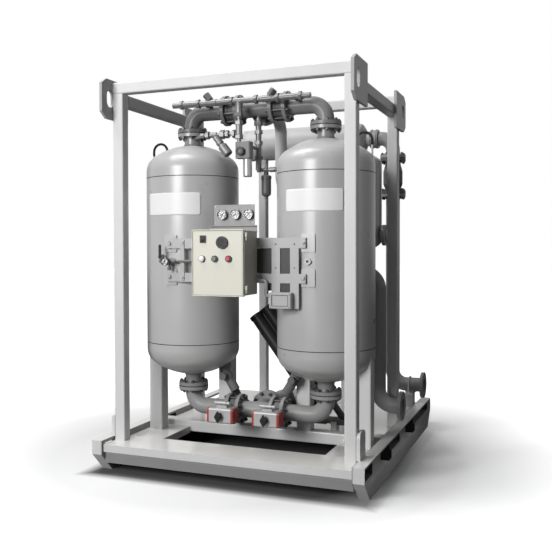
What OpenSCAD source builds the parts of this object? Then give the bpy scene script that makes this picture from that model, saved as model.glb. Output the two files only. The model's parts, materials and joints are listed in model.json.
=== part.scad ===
// Twin-tower desiccant air dryer on a sled skid with a lifting frame.
// Millimetres, +X right, +Y to the rear, +Z up, origin on the floor under the middle of the skid.

/* [Skid] */
// Width over the side rails
skid_w = 1860; // [1850:2:1880]
// Length of the side rails
skid_l = 2260; // [2250:2:2300]
// Height of the side rails
rail_h = 220; // [216:1:224]
// Length of the sloped toe at each rail end
toe = 126; // [110:1:130]

/* [Lifting frame] */
// Overall height to the top of the lifting lugs
frame_h = 2630; // [2620:5:2700]
// Outside width of the square posts and rails
post_w = 76.2; // [72:0.2:80]
// Wall of the square posts and rails
post_wall = 5; // [4:0.5:6]

/* [Towers] */
// Outside radius of each tower
tower_r = 330; // [324:1:334]
// Distance between the two tower axes
tower_pitch = 1000; // [990:2:1014]
// Wall of the towers
tower_wall = 10; // [8:0.5:12]
// Height of the lower end of the straight shell
shell_z0 = 785; // [780:1:795]
// Length of the straight shell
shell_l = 1259; // [1250:1:1265]

/* [Piping] */
// Outside radius of the main pipes
pipe_r = 57.15; // [55:0.05:58]
// Wall of the main pipes
pipe_wall = 6; // [5:0.5:6.5]
// Bend radius of the header elbows
elbow_r = 102; // [98:1:106]
// Thickness of the flanges
flange_t = 24; // [20:1:26]
// Thickness of the flange gaskets
gasket_t = 3; // [2:0.5:4]

/* [Filters] */
// Outside radius of the upright inlet filter
prefilter_r = 203; // [195:1:206]
// Outside radius of the long outlet filter
after_r = 136.5; // [130:0.5:138]

/* [Controls] */
// Width of the control box
box_w = 346; // [330:2:350]
// Height of the control box
box_h = 410; // [400:2:420]
// Depth of the control box
box_d = 212; // [200:2:216]

/* [Fits] */
// Gap where a cut edge meets a curved wall
seat_gap = 0.3; // [0.2:0.1:0.4]
// Radial gap of turning and sliding fits
run_gap = 0.05; // [0.03:0.01:0.08]

/* [Hidden] */
$fn = 64;
// Overrun of cuts
eps = 1;

// Skid levels and sections
rail_w = 76;
rail_web = 10;
rail_in = skid_w / 2 - rail_w;
sill_top = rail_h - 27;
deck_top = rail_h - 42;
deck_t = 8;
window_top = rail_h - 15;
window_r = 8;
sill_t = 10;
sill_y0 = -1112;
sill_y1 = -830;
sill_lip = 50;
sill_web_y = -1092;
sill_foot = 60;
sill_z0 = 68;
beam_y0 = -376;
beam_y1 = -274;
beam_h = 81;
beam_wall = 6;
beam_r = 9;
rear_y0 = 1040;
rear_y1 = 1110;
rear_h = 92;
well_x = 585;
well_lip = 50;

// Lifting frame
post_r = 9;
post_out = rail_in - 9.5;
post_x = post_out - post_w / 2;
post_y = [-949, 218];
frame_mid = (post_y[0] + post_y[1]) / 2;
post_top = frame_h - 92;
lug_t = 20;
lug_front = -1115;
lug_rear = -792;
lug_h = 265;
slot_w = 74;
slot_l = 115;
slot_y = -1018;
slot_z = frame_h - 129;
gusset_t = 22;
gusset_w = 132;
gusset_h = 170;
gusset_r = 40;

// Towers
tower_x = tower_pitch / 2;
tower_y = -480;
shell_z1 = shell_z0 + shell_l;
knuckle_r = 120;
head_h = head_rise(tower_r, knuckle_r);
neck_h = 58;
pipe_ri = pipe_r - pipe_wall;
flange_r = 105;
bolt_circle = 175;
bolt_n = 8;
bolt_hole_r = 9.5;
top_face = shell_z1 + head_h + neck_h + flange_t;
bottom_face = shell_z0 - head_h - neck_h - flange_t;
seam_w = 5;
seam_d = 2;
seam_in = 50;
bed_z0 = shell_z0 - 48;
bed_z1 = shell_z1 - 24;
grid_t = 12;
grid_ri = 180;
grid_ro = 311;
grid_bar = 50;
eye_x = 262;
eye_ring = 55;
eye_rod = 7;
eye_z = shell_z1 + 161;
leg_w = 101.6;
leg_wall = 6;
leg_r = 10;
outer_leg = [275, -500];
inner_leg = [-200, (beam_y0 + beam_y1) / 2];

// Headers
stub = 20;
top_z = top_face + gasket_t + flange_t + stub + elbow_r;
bottom_z = bottom_face - gasket_t - flange_t - stub - elbow_r;
check_x = 178;
check_w = 70;
check_r = 79;
valve_x = 165;
valve_w = 52;
valve_r = 79;
check_end = check_w / 2 + gasket_t;
valve_end = valve_w / 2 + gasket_t;
branch_r = 44.45;
branch_ri = 39;
branch_flange_r = 92.5;
branch_circle = 150;
branch_bend = 114;
top_branch_y = -331.5;
bottom_branch_y = -290;
gasket_r = 78;
stud_r = 8;
nut_r = 14;
nut_h = 13;
stud_end = 20;

// Butterfly valves and their drives
disc_r = 50;
disc_t = 10;
seat_r = disc_r + 0.5;
stem_r = 8;
stem_tail = 62;
valve_neck_r = 22;
valve_plate_y = tower_y - 120;
valve_plate = 80;
valve_plate_t = 10;
pedestal = 70;
drive_y1 = valve_plate_y - valve_plate_t - 46;
drive_y0 = drive_y1 - 104;
drive_w = 160;
drive_h = 104;
drive_r = 14;
cap_t = 15;
knob_r = 23.5;
knob_h = 30;

// Purge and blow-down piping
purge_y = tower_y - 160;
purge_z = top_z + 33;
purge_r = 16.7;
purge_end_r = 13;
union_r = 25;
drop_r = 13.5;
drop_x = -66;
spool_drop_x = 12;
tap_x = 330;
union_xs = [-500, -370, -120, 60, 215, 375];
y_valve_xs = [-265, 139];
regulator_z = top_z - 304;
regulator_off = 62;
spool_end = top_z - 440;
branch_z = top_z - 189;
branch_turn = tower_x - (tower_y - purge_y);
fill_r = 12;
fill_z = top_z - 425;
// Fittings on the filling branches: start, end and rise over the pipe
left_fittings = [[-310, -290, 9], [-280, -232, 7], [-206, -170, 12], [-164, -140, 9], [-112, -94, 10]];
right_fittings = [[58, 80, 11], [96, 136, 6]];
fill_valve_x = -255;
fill_valve_lean = 141;
blow_y = tower_y + 52;
blow_top = [305, blow_y, shell_z0 - 120];
blow_mid = [205, blow_y, shell_z0 - 280];
blow_r = 30;
manifold_y = -200;
manifold_z = deck_top + 90;
muffler_axis = [0.597, 0, -0.802];
muffler_r = 50;
muffler_l = 560;
muffler_a = [-125, manifold_y, 1007];
muffler_b = [-38, manifold_y, 1068];

// Rear filters and pipes
pre_at = [540, 100];
pre_z0 = 1560;
pre_z1 = 2110;
pre_knuckle = 53;
pre_wall = 8;
pre_head = head_rise(prefilter_r, pre_knuckle);
pre_face = pre_z0 - pre_head - 20 - flange_t;
pre_out_z = 1640;
pre_side_z = 1590;
pre_stub_r = 45;
pre_cap_r = 76;
riser_bend = 114;
inlet_z = rail_h + 127;
inlet_x = skid_w / 2 - 25;
inlet_riser_x = 721;
inlet_tee_z = 1310;
drip_z = 1226;
rear_y = 910;
after_z = 2410;
after_x0 = -663;
after_x1 = 378;
after_knuckle = 34.5;
after_wall = 8;
after_end = 500;
coupling_r = 75;
coupling_w = 70;
cross_z = 1950;
out_x = 655;
out_flange_z = 2243;
out_valve_l = 293;
outlet_z = rail_h + 145;
outlet_x = skid_w / 2 - 12;
stanchion_w = 70;
stanchion_x = [-504, 250];
stand_x = 800;

// Controls, in front of the towers
front_y = tower_y - tower_r;
pad_face = front_y - 8;
bar_back = pad_face - 10;
bar_t = 8;
bar_front = bar_back - bar_t;
panel_t = 4;
box_back = bar_front - panel_t;
box_front = box_back - box_d;
box_wall = 3;
ctl_x = -28;
ctl_z = 1405;
box_x0 = ctl_x - box_w / 2;
box_x1 = ctl_x + box_w / 2;
box_z0 = ctl_z - box_h / 2;
box_z1 = ctl_z + box_h / 2;
door_lap = 5;
door_gap = 2;
door_d = 24;
door_skin = 3;
door_back = box_front - door_gap;
door_front = door_back - door_d;
hinge_x = box_x1 + 15;
hinge_y = box_front - 1;
hinge_zs = [box_z0 + 40, box_z1 - 40];
hinge_pin = 4;
hinge_r = 8;
hinge_l = 25;
rocker_at = [ctl_x - 98, ctl_z + 150];
rocker_w = 26;
rocker_r = 15.5;
rocker_y = door_front + 4;
trunnion_r = 3;
sounder_at = [ctl_x + 36, ctl_z + 128];
sounder_r = 39;
lamp_at = [ctl_x - 104, ctl_z + 26];
green_at = [ctl_x - 15, ctl_z + 26];
red_at = [ctl_x + 80, ctl_z + 26];
bezel_r = 21;
bezel_h = 12;
push_r = 14;
sleeve_r = 16;
hole_r = sleeve_r + seat_gap;
push_end = 24;
bar_zs = [[1272, 1333], [1497, 1564]];
bar_x0 = -521;
bar_x1 = 474;
pad_zs = [1307, 1529];
pad_half = 58;
pad_w = 90;
left_pad_x = -500;
right_pad_x = 485;
left_stay_x = left_pad_x + 3;
right_stay_x = right_pad_x - 28;
stay_r = 15;
strip_x = [[244, 302], [370, 428]];
strip_z0 = 1110;
jbox = [244, 390, 1112, 1215];
jbox_d = 44;
panel_x0 = ctl_x - 132;
panel_x1 = ctl_x + 156;
panel_z0 = 1500;
panel_z1 = 1782;
gauge_z = 1718;
gauge_xs = [-95, -2, 91];
gauge_r = 34;
gauge_d = 28;
dial_depth = 10;
lens_t = 2;
port_z = 1412;
port_x = [-505, 482];
port_r = 18;
port_face = front_y - 14;
tower_gauge_r = 29;
tower_gauge_y = port_face - 50;
tube_y = port_face - 34;
tube_r = 8;
cock_x = -548;
cock_z = port_z + 28;
cock_r = 17;
lever_pin = 4;

// Rectangle from its limits
module rect(a0, a1, b0, b1) {
    translate([a0, b0]) square([a1 - a0, b1 - b0]);
}

// Rectangle with round corners
module rrect(a0, a1, b0, b1, r) {
    rect(a0 + r, a1 - r, b0, b1);
    rect(a0, a1, b0 + r, b1 - r);
    for (a = [a0 + r, a1 - r], b = [b0 + r, b1 - r]) {
        translate([a, b]) circle(r);
    }
}

// Section of a rectangular tube
module tube_2d(a0, a1, b0, b1, wall, r) {
    difference() {
        rrect(a0, a1, b0, b1, r);
        rrect(a0 + wall, a1 - wall, b0 + wall, b1 - wall, r - wall + 1);
    }
}

// Section of a pipe, or a full circle when the bore is zero
module ring(ro, ri) {
    difference() {
        circle(ro);
        if (ri > 0) circle(ri);
    }
}

// Extrusions along the three axes; sections lie in YZ, XZ and XY
module span_x(x0, x1) {
    translate([x0, 0, 0]) rotate([90, 0, 90]) linear_extrude(x1 - x0) children();
}

module span_y(y0, y1) {
    translate([0, y1, 0]) rotate([90, 0, 0]) linear_extrude(y1 - y0) children();
}

module span_z(z0, z1) {
    translate([0, 0, z0]) linear_extrude(z1 - z0) children();
}

module both_sides() {
    children();
    mirror([1, 0, 0]) children();
}

// Round bars along the three axes
module bar_x(x0, x1, y, z, ro, ri = 0) {
    span_x(x0, x1) translate([y, z]) ring(ro, ri);
}

module bar_y(y0, y1, x, z, ro, ri = 0) {
    span_y(y0, y1) translate([x, z]) ring(ro, ri);
}

module bar_z(z0, z1, x, y, ro, ri = 0) {
    span_z(z0, z1) translate([x, y]) ring(ro, ri);
}

function unit(v) = v / norm(v);

// Local +Z turned to the direction d at the point p
module aim(p, d) {
    translate(p) rotate([0, acos(d.z), atan2(d.y, d.x)]) children();
}

module pipe_seg(a, b, ro, ri) {
    aim(a, unit(b - a)) linear_extrude(norm(b - a)) ring(ro, ri);
}

// Pipe along straight legs joined by round bends of radius br
module pipe_run(p, ro, ri, br) {
    n = len(p);
    u = [for (i = [0 : n - 2]) unit(p[i + 1] - p[i])];
    cut = [for (i = [0 : n - 1]) i == 0 || i == n - 1 ? 0 : br * tan(acos(u[i - 1] * u[i]) / 2)];
    for (i = [0 : n - 2]) {
        a = p[i] + u[i] * cut[i];
        b = p[i + 1] - u[i] * cut[i + 1];
        if (norm(b - a) > 0.01) pipe_seg(a, b, ro, ri);
    }
    if (n > 2) {
        for (i = [1 : n - 2]) {
            d = u[i - 1];
            m = unit(u[i] - d * (d * u[i]));
            c = p[i] - d * cut[i] + m * br;
            w = cross(-m, d);
            multmatrix([
                [-m.x, d.x, w.x, c.x],
                [-m.y, d.y, w.y, c.y],
                [-m.z, d.z, w.z, c.z],
                [0, 0, 0, 1]
            ]) rotate_extrude(angle = acos(d * u[i])) translate([br, 0]) ring(ro, ri);
        }
    }
}

// Ring of points on a bolt circle
module on_bolt_circle(pcd, n) {
    for (i = [0 : n - 1]) {
        rotate((i + 0.5) * 360 / n) translate([pcd / 2, 0]) children();
    }
}

// Drilled flange, its back at the origin and its face at +Z
module flange(bore) {
    linear_extrude(flange_t) difference() {
        ring(flange_r, bore);
        on_bolt_circle(bolt_circle, bolt_n) circle(bolt_hole_r);
    }
}

module branch_flange() {
    linear_extrude(flange_t) difference() {
        ring(branch_flange_r, branch_ri);
        on_bolt_circle(branch_circle, bolt_n) circle(bolt_hole_r);
    }
}

// Height of a dished head whose crown and knuckle arcs meet on a 3-4-5 slope
function head_rise(r, knuckle) = knuckle + (r - knuckle) / 3;

// Half outline of a dished head: crown arc and knuckle arc, drawn in by inset
module head_2d(r, knuckle, inset) {
    k = r - knuckle;
    drop = k * 4 / 3;
    dish = knuckle + k * 5 / 3;
    u = [0.6, 0.8];
    intersection() {
        translate([0, -drop]) circle(dish - inset);
        polygon([[0, 0], [0, dish], [0, -drop] + 1.5 * dish * u, [k, 0]]);
    }
    intersection() {
        translate([k, 0]) circle(knuckle - inset);
        polygon([[k, 0], [k, 0] + 2 * knuckle * u, [r + knuckle, 2 * knuckle], [r + knuckle, 0]]);
    }
}

// Half outline of a vessel with two dished heads
module vessel_2d(r, z0, z1, knuckle, inset) {
    rect(0, r - inset, z0, z1);
    translate([0, z1]) head_2d(r, knuckle, inset);
    translate([0, z0]) mirror([0, 1]) head_2d(r, knuckle, inset);
}

module tower_body(inset) {
    rotate_extrude() vessel_2d(tower_r, shell_z0, shell_z1, knuckle_r, inset);
}

// Space kept by both towers for the parts that end on them
module tower_space() {
    both_sides() translate([tower_x, tower_y, 0]) tower_body(-seat_gap);
}

// Studs with two nuts through a joint of the given grip, centred on the local origin
module stud_set(grip, pcd) {
    on_bolt_circle(pcd, bolt_n) {
        translate([0, 0, -grip / 2 - stud_end]) cylinder(r = stud_r, h = grip + 2 * stud_end);
        for (z = [-grip / 2 - nut_h, grip / 2]) {
            translate([0, 0, z]) cylinder(r = nut_r, h = nut_h, $fn = 6);
        }
    }
}

// Skid side rail: channel open to the outside, sloped toes, fork windows
function rail_outline(g) = let (k = g * tan(22.5), y = skid_l / 2) [
    [-(y - g), rail_h - g],
    [-(y - g), toe + k],
    [-(y - toe - k), g],
    [y - toe - k, g],
    [y - g, toe + k],
    [y - g, rail_h - g]
];

module rail_windows() {
    rrect(-1095, -905, 128, window_top - 5, window_r);
    for (w = [[-440, -95], [390, 1015]]) {
        rrect(w[0], w[1], 140, window_top, window_r);
        rrect(w[0], w[0] + 80, 85, 160, window_r);
    }
}

module skid_rail() {
    difference() {
        span_x(rail_in, rail_in + rail_w) polygon(rail_outline(0));
        span_x(rail_in + rail_web, rail_in + rail_w + eps) polygon(rail_outline(rail_web));
        span_x(rail_in - eps, rail_in + rail_w) rail_windows();
    }
}

module skid_right_rail() {
    color("gainsboro") skid_rail();
}

module skid_left_rail() {
    color("gainsboro") mirror([1, 0, 0]) skid_rail();
}

// Folded front sill that carries the front posts
module skid_front_beam() {
    color("gainsboro") span_x(-rail_in, rail_in) {
        rect(sill_y0, sill_y1, sill_top - sill_t, sill_top);
        rect(sill_y0, sill_web_y, sill_top - sill_lip, sill_top);
        rect(sill_web_y, sill_web_y + sill_t, sill_z0, sill_top);
        rect(sill_web_y, sill_web_y + sill_foot, sill_z0, sill_z0 + sill_t);
        rect(sill_y1 - beam_wall, sill_y1, sill_top - sill_lip, sill_top);
    }
}

module skid_middle_beam() {
    color("gainsboro") span_x(-rail_in, rail_in)
        tube_2d(beam_y0, beam_y1, rail_h - beam_h, rail_h, beam_wall, beam_r);
}

module skid_rear_beam() {
    z1 = deck_top - deck_t;
    color("gainsboro") span_x(-rail_in, rail_in) {
        rect(rear_y1 - deck_t, rear_y1, z1 - rear_h, z1);
        rect(rear_y0, rear_y1, z1 - deck_t, z1);
        rect(rear_y0, rear_y1, z1 - rear_h, z1 - rear_h + deck_t);
    }
}

// Side strips round the front well, and the rear deck
module deck_plates() {
    color("silver") {
        both_sides() {
            span_y(sill_y1, beam_y0) {
                rect(well_x, rail_in, deck_top - deck_t, deck_top);
                rect(well_x, well_x + deck_t, deck_top - well_lip, deck_top);
            }
        }
        span_y(beam_y1, rear_y1) rect(-rail_in, rail_in, deck_top - deck_t, deck_top);
    }
}

module post_2d(x, y) {
    h = post_w / 2;
    tube_2d(x - h, x + h, y - h, y + h, post_wall, post_r);
}

module frame_posts() {
    color("gainsboro") both_sides() {
        span_z(sill_top, post_top) post_2d(post_x, post_y[0]);
        span_z(deck_top, post_top) post_2d(post_x, post_y[1]);
    }
}

module cross_top_rails() {
    color("gainsboro") for (y = post_y) {
        span_x(-post_out, post_out) post_2d(y, post_top + post_w / 2);
    }
}

module side_top_rails() {
    h = post_w / 2;
    color("gainsboro") both_sides() {
        span_y(post_y[0] + h, post_y[1] - h) post_2d(post_x, post_top - h);
    }
}

module lug_2d() {
    z0 = frame_h - lug_h;
    difference() {
        polygon([
            [lug_front, frame_h - 34], [lug_front + 56, frame_h], [lug_rear, frame_h],
            [lug_rear, z0], [lug_front + 60, z0], [lug_front, z0 + 42]
        ]);
        translate([slot_y, slot_z]) {
            square([slot_w, slot_l - slot_w], center = true);
            for (s = [-1, 1]) translate([0, s * (slot_l - slot_w) / 2]) circle(slot_w / 2);
        }
    }
}

module lifting_lugs() {
    color("gainsboro") both_sides() span_x(post_out, post_out + lug_t) {
        lug_2d();
        translate([2 * frame_mid, 0]) mirror([1, 0]) lug_2d();
    }
}

module gusset_2d(y0) {
    rect(y0, y0 + gusset_w, rail_h, rail_h + gusset_h - gusset_r);
    rect(y0 + gusset_r, y0 + gusset_w - gusset_r, rail_h, rail_h + gusset_h);
    for (y = [y0 + gusset_r, y0 + gusset_w - gusset_r]) {
        translate([y, rail_h + gusset_h - gusset_r]) circle(gusset_r);
    }
}

module post_gussets() {
    color("gainsboro") both_sides() span_x(post_out, post_out + gusset_t) {
        for (y = post_y) gusset_2d(y - post_w / 2);
    }
}

// Stanchions under the long filter, stand and U-bolt at the outlet, saddles under the manifold
module pipe_supports() {
    h = stanchion_w / 2;
    u_r = pipe_r + seat_gap + 6;
    color("silver") {
        difference() {
            union() {
                for (x = stanchion_x) {
                    span_z(deck_top, after_z - after_r + 30)
                        tube_2d(x - h, x + h, rear_y - h, rear_y + h, post_wall, post_r);
                    span_z(deck_top, deck_top + deck_t) rect(x - 75, x + 75, rear_y - 75, rear_y + 75);
                }
                span_z(deck_top, outlet_z - pipe_r + 20)
                    tube_2d(stand_x - h, stand_x + h, rear_y - h, rear_y + h, post_wall, post_r);
                span_z(outlet_z - pipe_r - 18, outlet_z - pipe_r - 8)
                    rect(stand_x - h, stand_x + h, rear_y - 85, rear_y + 85);
                for (x = [-120, 480]) {
                    span_z(deck_top, manifold_z) rect(x - 20, x + 20, manifold_y - 45, manifold_y + 45);
                }
            }
            bar_x(after_x0, after_x1, rear_y, after_z, after_r + seat_gap);
            bar_x(stand_x - 60, outlet_x, rear_y, outlet_z, pipe_r + seat_gap);
            bar_x(-tower_x, tower_x + 100, manifold_y, manifold_z, blow_r + seat_gap);
        }
        translate([stand_x, rear_y, outlet_z]) rotate([90, 0, 90])
            rotate_extrude(angle = 180) translate([u_r, 0]) circle(6);
        for (s = [-1, 1]) bar_z(outlet_z - pipe_r - 30, outlet_z, stand_x, rear_y + s * u_r, 6);
    }
}

// Half outline of the tower wall with necks, flanges and seam grooves
module tower_wall_2d() {
    difference() {
        union() {
            vessel_2d(tower_r, shell_z0, shell_z1, knuckle_r, 0);
            rect(0, pipe_r, bottom_face, top_face);
            rect(0, flange_r, bottom_face, bottom_face + flange_t);
            rect(0, flange_r, top_face - flange_t, top_face);
        }
        vessel_2d(tower_r, shell_z0, shell_z1, knuckle_r, tower_wall);
        rect(0, pipe_ri, bottom_face - eps, top_face + eps);
        for (z = [shell_z0 + seam_in, shell_z1 - seam_in]) {
            rect(tower_r - seam_d, tower_r + eps, z - seam_w / 2, z + seam_w / 2);
        }
    }
}

// Lifting eye bent from round bar, its feet ending inside the wall
module lifting_eye(x) {
    translate([x, 0, eye_z]) rotate([90, 0, 0])
        rotate_extrude(angle = 180) translate([eye_ring, 0]) circle(eye_rod);
    difference() {
        for (t = [-1, 1]) bar_z(shell_z1, eye_z, x + t * eye_ring, 0, eye_rod);
        tower_body(tower_wall / 2);
    }
}

// Tower: dished shell, lifting eye, bracket pads, front port, bed grid
module tower(side) {
    pad_x = side < 0 ? left_pad_x : right_pad_x;
    hole_x = side < 0 ? port_x[0] : port_x[1];
    x0 = side * tower_x;
    difference() {
        union() {
            translate([x0, tower_y, 0]) {
                rotate_extrude() tower_wall_2d();
                lifting_eye(side * eye_x);
            }
            difference() {
                union() {
                    for (z = pad_zs) {
                        span_y(pad_face, tower_y) rrect(pad_x - pad_w / 2, pad_x + pad_w / 2,
                            z - pad_half, z + pad_half, window_r);
                    }
                    bar_y(port_face, tower_y, hole_x, port_z, port_r + 4);
                }
                bar_z(shell_z0, shell_z1, x0, tower_y, tower_r - tower_wall / 2);
            }
        }
        translate([x0, tower_y, 0]) for (z = [bottom_face - eps, top_face - flange_t - eps]) {
            span_z(z, z + flange_t + 2 * eps) on_bolt_circle(bolt_circle, bolt_n) circle(bolt_hole_r);
        }
        bar_y(port_face - eps, tower_y, hole_x, port_z, tube_r);
    }
    translate([x0, tower_y, 0]) span_z(bed_z0 - grid_t, bed_z0) {
        ring(grid_ro, grid_ri);
        rect(-grid_ri - 10, grid_ri + 10, -grid_bar / 2, grid_bar / 2);
        rect(-grid_bar / 2, grid_bar / 2, -grid_ri - 10, grid_ri + 10);
    }
}

module left_tower() {
    color("darkgray") tower(-1);
}

module right_tower() {
    color("darkgray") tower(1);
}

module tower_legs() {
    h = leg_w / 2;
    color("darkgray") difference() {
        both_sides() for (leg = [[outer_leg, deck_top], [inner_leg, rail_h]]) {
            x = tower_x + leg[0].x;
            y = leg[0].y;
            span_z(leg[1], shell_z0) tube_2d(x - h, x + h, y - h, y + h, leg_wall, leg_r);
        }
        tower_space();
    }
}

module desiccant_beds() {
    color("white") both_sides() translate([tower_x, tower_y, 0]) rotate_extrude() intersection() {
        vessel_2d(tower_r, shell_z0, shell_z1, knuckle_r, tower_wall + seat_gap);
        rect(0, tower_r, bed_z0, bed_z1);
    }
}

// Flanged elbows between the towers and the valves
module top_elbows() {
    x1 = check_x + check_end;
    color("darkgray") both_sides() {
        pipe_run([
            [tower_x, tower_y, top_face + gasket_t + flange_t],
            [tower_x, tower_y, top_z],
            [x1 + flange_t, tower_y, top_z]
        ], pipe_r, pipe_ri, elbow_r);
        aim([tower_x, tower_y, top_face + gasket_t], [0, 0, 1]) flange(pipe_ri);
        aim([x1, tower_y, top_z], [1, 0, 0]) flange(pipe_ri);
    }
}

module bottom_elbows() {
    x1 = valve_x + valve_end;
    color("darkgray") both_sides() {
        pipe_run([
            [tower_x, tower_y, bottom_face - gasket_t - flange_t],
            [tower_x, tower_y, bottom_z],
            [x1 + flange_t, tower_y, bottom_z]
        ], pipe_r, pipe_ri, elbow_r);
        aim([tower_x, tower_y, bottom_face - gasket_t - flange_t], [0, 0, 1]) flange(pipe_ri);
        aim([x1, tower_y, bottom_z], [1, 0, 0]) flange(pipe_ri);
    }
}

// Tee between the two valves with a rearward branch
module top_tee() {
    x1 = check_x - check_end;
    color("darkgray") {
        difference() {
            union() {
                bar_x(-x1, x1, tower_y, top_z, pipe_r);
                bar_y(tower_y, top_branch_y, 0, top_z, branch_r);
            }
            bar_x(-x1 - eps, x1 + eps, tower_y, top_z, pipe_ri);
            bar_y(tower_y, top_branch_y + eps, 0, top_z, branch_ri);
        }
        both_sides() aim([x1 - flange_t, tower_y, top_z], [1, 0, 0]) flange(pipe_ri);
        aim([0, top_branch_y - flange_t, top_z], [0, 1, 0]) branch_flange();
    }
}

module bottom_tee() {
    x1 = valve_x - valve_end;
    color("darkgray") {
        difference() {
            union() {
                bar_x(-x1, x1, tower_y, bottom_z, pipe_r);
                bar_y(tower_y, bottom_branch_y, 0, bottom_z, pipe_r - 1);
            }
            bar_x(-x1 - eps, x1 + eps, tower_y, bottom_z, pipe_ri);
            bar_y(tower_y, bottom_branch_y + eps, 0, bottom_z, pipe_ri - 1);
        }
        both_sides() aim([x1 - flange_t, tower_y, bottom_z], [1, 0, 0]) flange(pipe_ri);
        aim([0, bottom_branch_y - flange_t, bottom_z], [0, 1, 0]) flange(pipe_ri - 1);
    }
}

// Wafer check valves held between the top flanges
module check_valves() {
    color("dimgray") both_sides() translate([check_x, tower_y, top_z]) rotate([0, 90, 0])
        rotate_extrude() translate([0, -check_w / 2]) difference() {
            rect(pipe_ri, check_r, 0, check_w);
            rect(check_r - 6, check_r + eps, 18, check_w - 18);
        }
}

// Wafer butterfly bodies with a stem neck and a top plate to the front
module butterfly_bodies() {
    color("dimgray") both_sides() difference() {
        union() {
            bar_x(valve_x - valve_w / 2, valve_x + valve_w / 2, tower_y, bottom_z, valve_r);
            bar_y(valve_plate_y, tower_y - seat_r - 5, valve_x, bottom_z, valve_neck_r);
            span_y(valve_plate_y - valve_plate_t, valve_plate_y) translate([valve_x, bottom_z])
                square(valve_plate, center = true);
        }
        bar_x(valve_x - valve_w, valve_x + valve_w, tower_y, bottom_z, seat_r);
        bar_y(valve_plate_y - 2 * valve_plate_t, tower_y + stem_tail + 2, valve_x, bottom_z, stem_r + run_gap);
    }
}

// Disc on its stem, closed at rest
module valve_rotor(x) {
    bar_x(x - disc_t / 2, x + disc_t / 2, tower_y, bottom_z, disc_r);
    bar_y(drive_y0 - 2, tower_y + stem_tail, x, bottom_z, stem_r);
}

module left_valve_disc() {
    color("silver") valve_rotor(-valve_x);
}

module right_valve_disc() {
    color("silver") valve_rotor(valve_x);
}

// Quarter-turn drives on square pedestals
module valve_actuators() {
    h = drive_h / 2;
    w = drive_w / 2;
    color("whitesmoke") both_sides() difference() {
        union() {
            span_y(drive_y1, valve_plate_y - valve_plate_t) translate([valve_x, bottom_z])
                tube_2d(-pedestal / 2, pedestal / 2, -pedestal / 2, pedestal / 2, 8, post_r);
            span_x(valve_x - w, valve_x + w) rrect(drive_y0, drive_y1, bottom_z - h, bottom_z + h, drive_r);
            span_z(bottom_z + h - eps, bottom_z + h + 16)
                rrect(valve_x - 40, valve_x + 40, drive_y0 + 30, drive_y1 - 30, window_r);
            bar_y(drive_y0 - 1, drive_y0 + 5, valve_x, bottom_z, knob_r + 6);
        }
        bar_y(drive_y0 - 10, drive_y1 + eps, valve_x, bottom_z, stem_r + run_gap);
    }
}

module actuator_caps() {
    h = drive_h / 2;
    color("firebrick") both_sides() for (s = [-1, 1]) {
        x = valve_x + s * (drive_w + cap_t) / 2;
        span_x(x - cap_t / 2, x + cap_t / 2)
            rrect(drive_y0 + 2, drive_y1 - 2, bottom_z - h + 2, bottom_z + h - 2, drive_r);
    }
}

module valve_knob(x) {
    span_y(drive_y0 - 2 - knob_h, drive_y0 - 2) translate([x, bottom_z]) difference() {
        circle(knob_r);
        for (a = [0 : 45 : 315]) rotate(a) translate([knob_r + 2, 0]) circle(5);
    }
}

module left_valve_knob() {
    color("black") valve_knob(-valve_x);
}

module right_valve_knob() {
    color("black") valve_knob(valve_x);
}

module gasket(p, d, bore) {
    aim(p, d) linear_extrude(gasket_t) ring(gasket_r, bore);
}

module flange_gaskets() {
    color("black") {
        both_sides() {
            gasket([tower_x, tower_y, top_face], [0, 0, 1], pipe_ri);
            gasket([tower_x, tower_y, bottom_face - gasket_t], [0, 0, 1], pipe_ri);
            for (x = [check_x - check_end, check_x + check_w / 2]) {
                gasket([x, tower_y, top_z], [1, 0, 0], pipe_ri);
            }
            for (x = [valve_x - valve_end, valve_x + valve_w / 2]) {
                gasket([x, tower_y, bottom_z], [1, 0, 0], pipe_ri);
            }
        }
        aim([0, top_branch_y, top_z], [0, 1, 0]) linear_extrude(gasket_t) ring(gasket_r - 15, branch_ri);
        gasket([0, bottom_branch_y, bottom_z], [0, 1, 0], pipe_ri);
        gasket([pre_at.x, pre_at.y, pre_face - gasket_t], [0, 0, 1], pipe_ri);
        gasket([out_x, rear_y, out_flange_z - gasket_t], [0, 0, 1], pipe_ri);
        gasket([out_x, rear_y, out_flange_z - 2 * gasket_t - out_valve_l], [0, 0, 1], pipe_ri);
    }
}

// Studs and nuts of every flanged joint
module flange_studs() {
    pair = 2 * flange_t + gasket_t;
    color("dimgray") {
        both_sides() {
            aim([tower_x, tower_y, top_face + gasket_t / 2], [0, 0, 1]) stud_set(pair, bolt_circle);
            aim([tower_x, tower_y, bottom_face - gasket_t / 2], [0, 0, 1]) stud_set(pair, bolt_circle);
            aim([check_x, tower_y, top_z], [1, 0, 0])
                stud_set(2 * (check_end + flange_t), bolt_circle);
            aim([valve_x, tower_y, bottom_z], [1, 0, 0])
                stud_set(2 * (valve_end + flange_t), bolt_circle);
        }
        aim([0, top_branch_y + gasket_t / 2, top_z], [0, 1, 0]) stud_set(pair, branch_circle);
        aim([0, bottom_branch_y + gasket_t / 2, bottom_z], [0, 1, 0]) stud_set(pair, bolt_circle);
        aim([pre_at.x, pre_at.y, pre_face - gasket_t / 2], [0, 0, 1]) stud_set(pair, bolt_circle);
        for (z = [out_flange_z - gasket_t / 2, out_flange_z - 1.5 * gasket_t - out_valve_l]) {
            aim([out_x, rear_y, z], [0, 0, 1]) stud_set(pair, bolt_circle);
        }
    }
}

// Turned bar along the local Z axis, its steps given as [z0, z1, radius]
module turned(steps) {
    rotate_extrude() for (s = steps) rect(0, s[2], s[0], s[1]);
}

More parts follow.
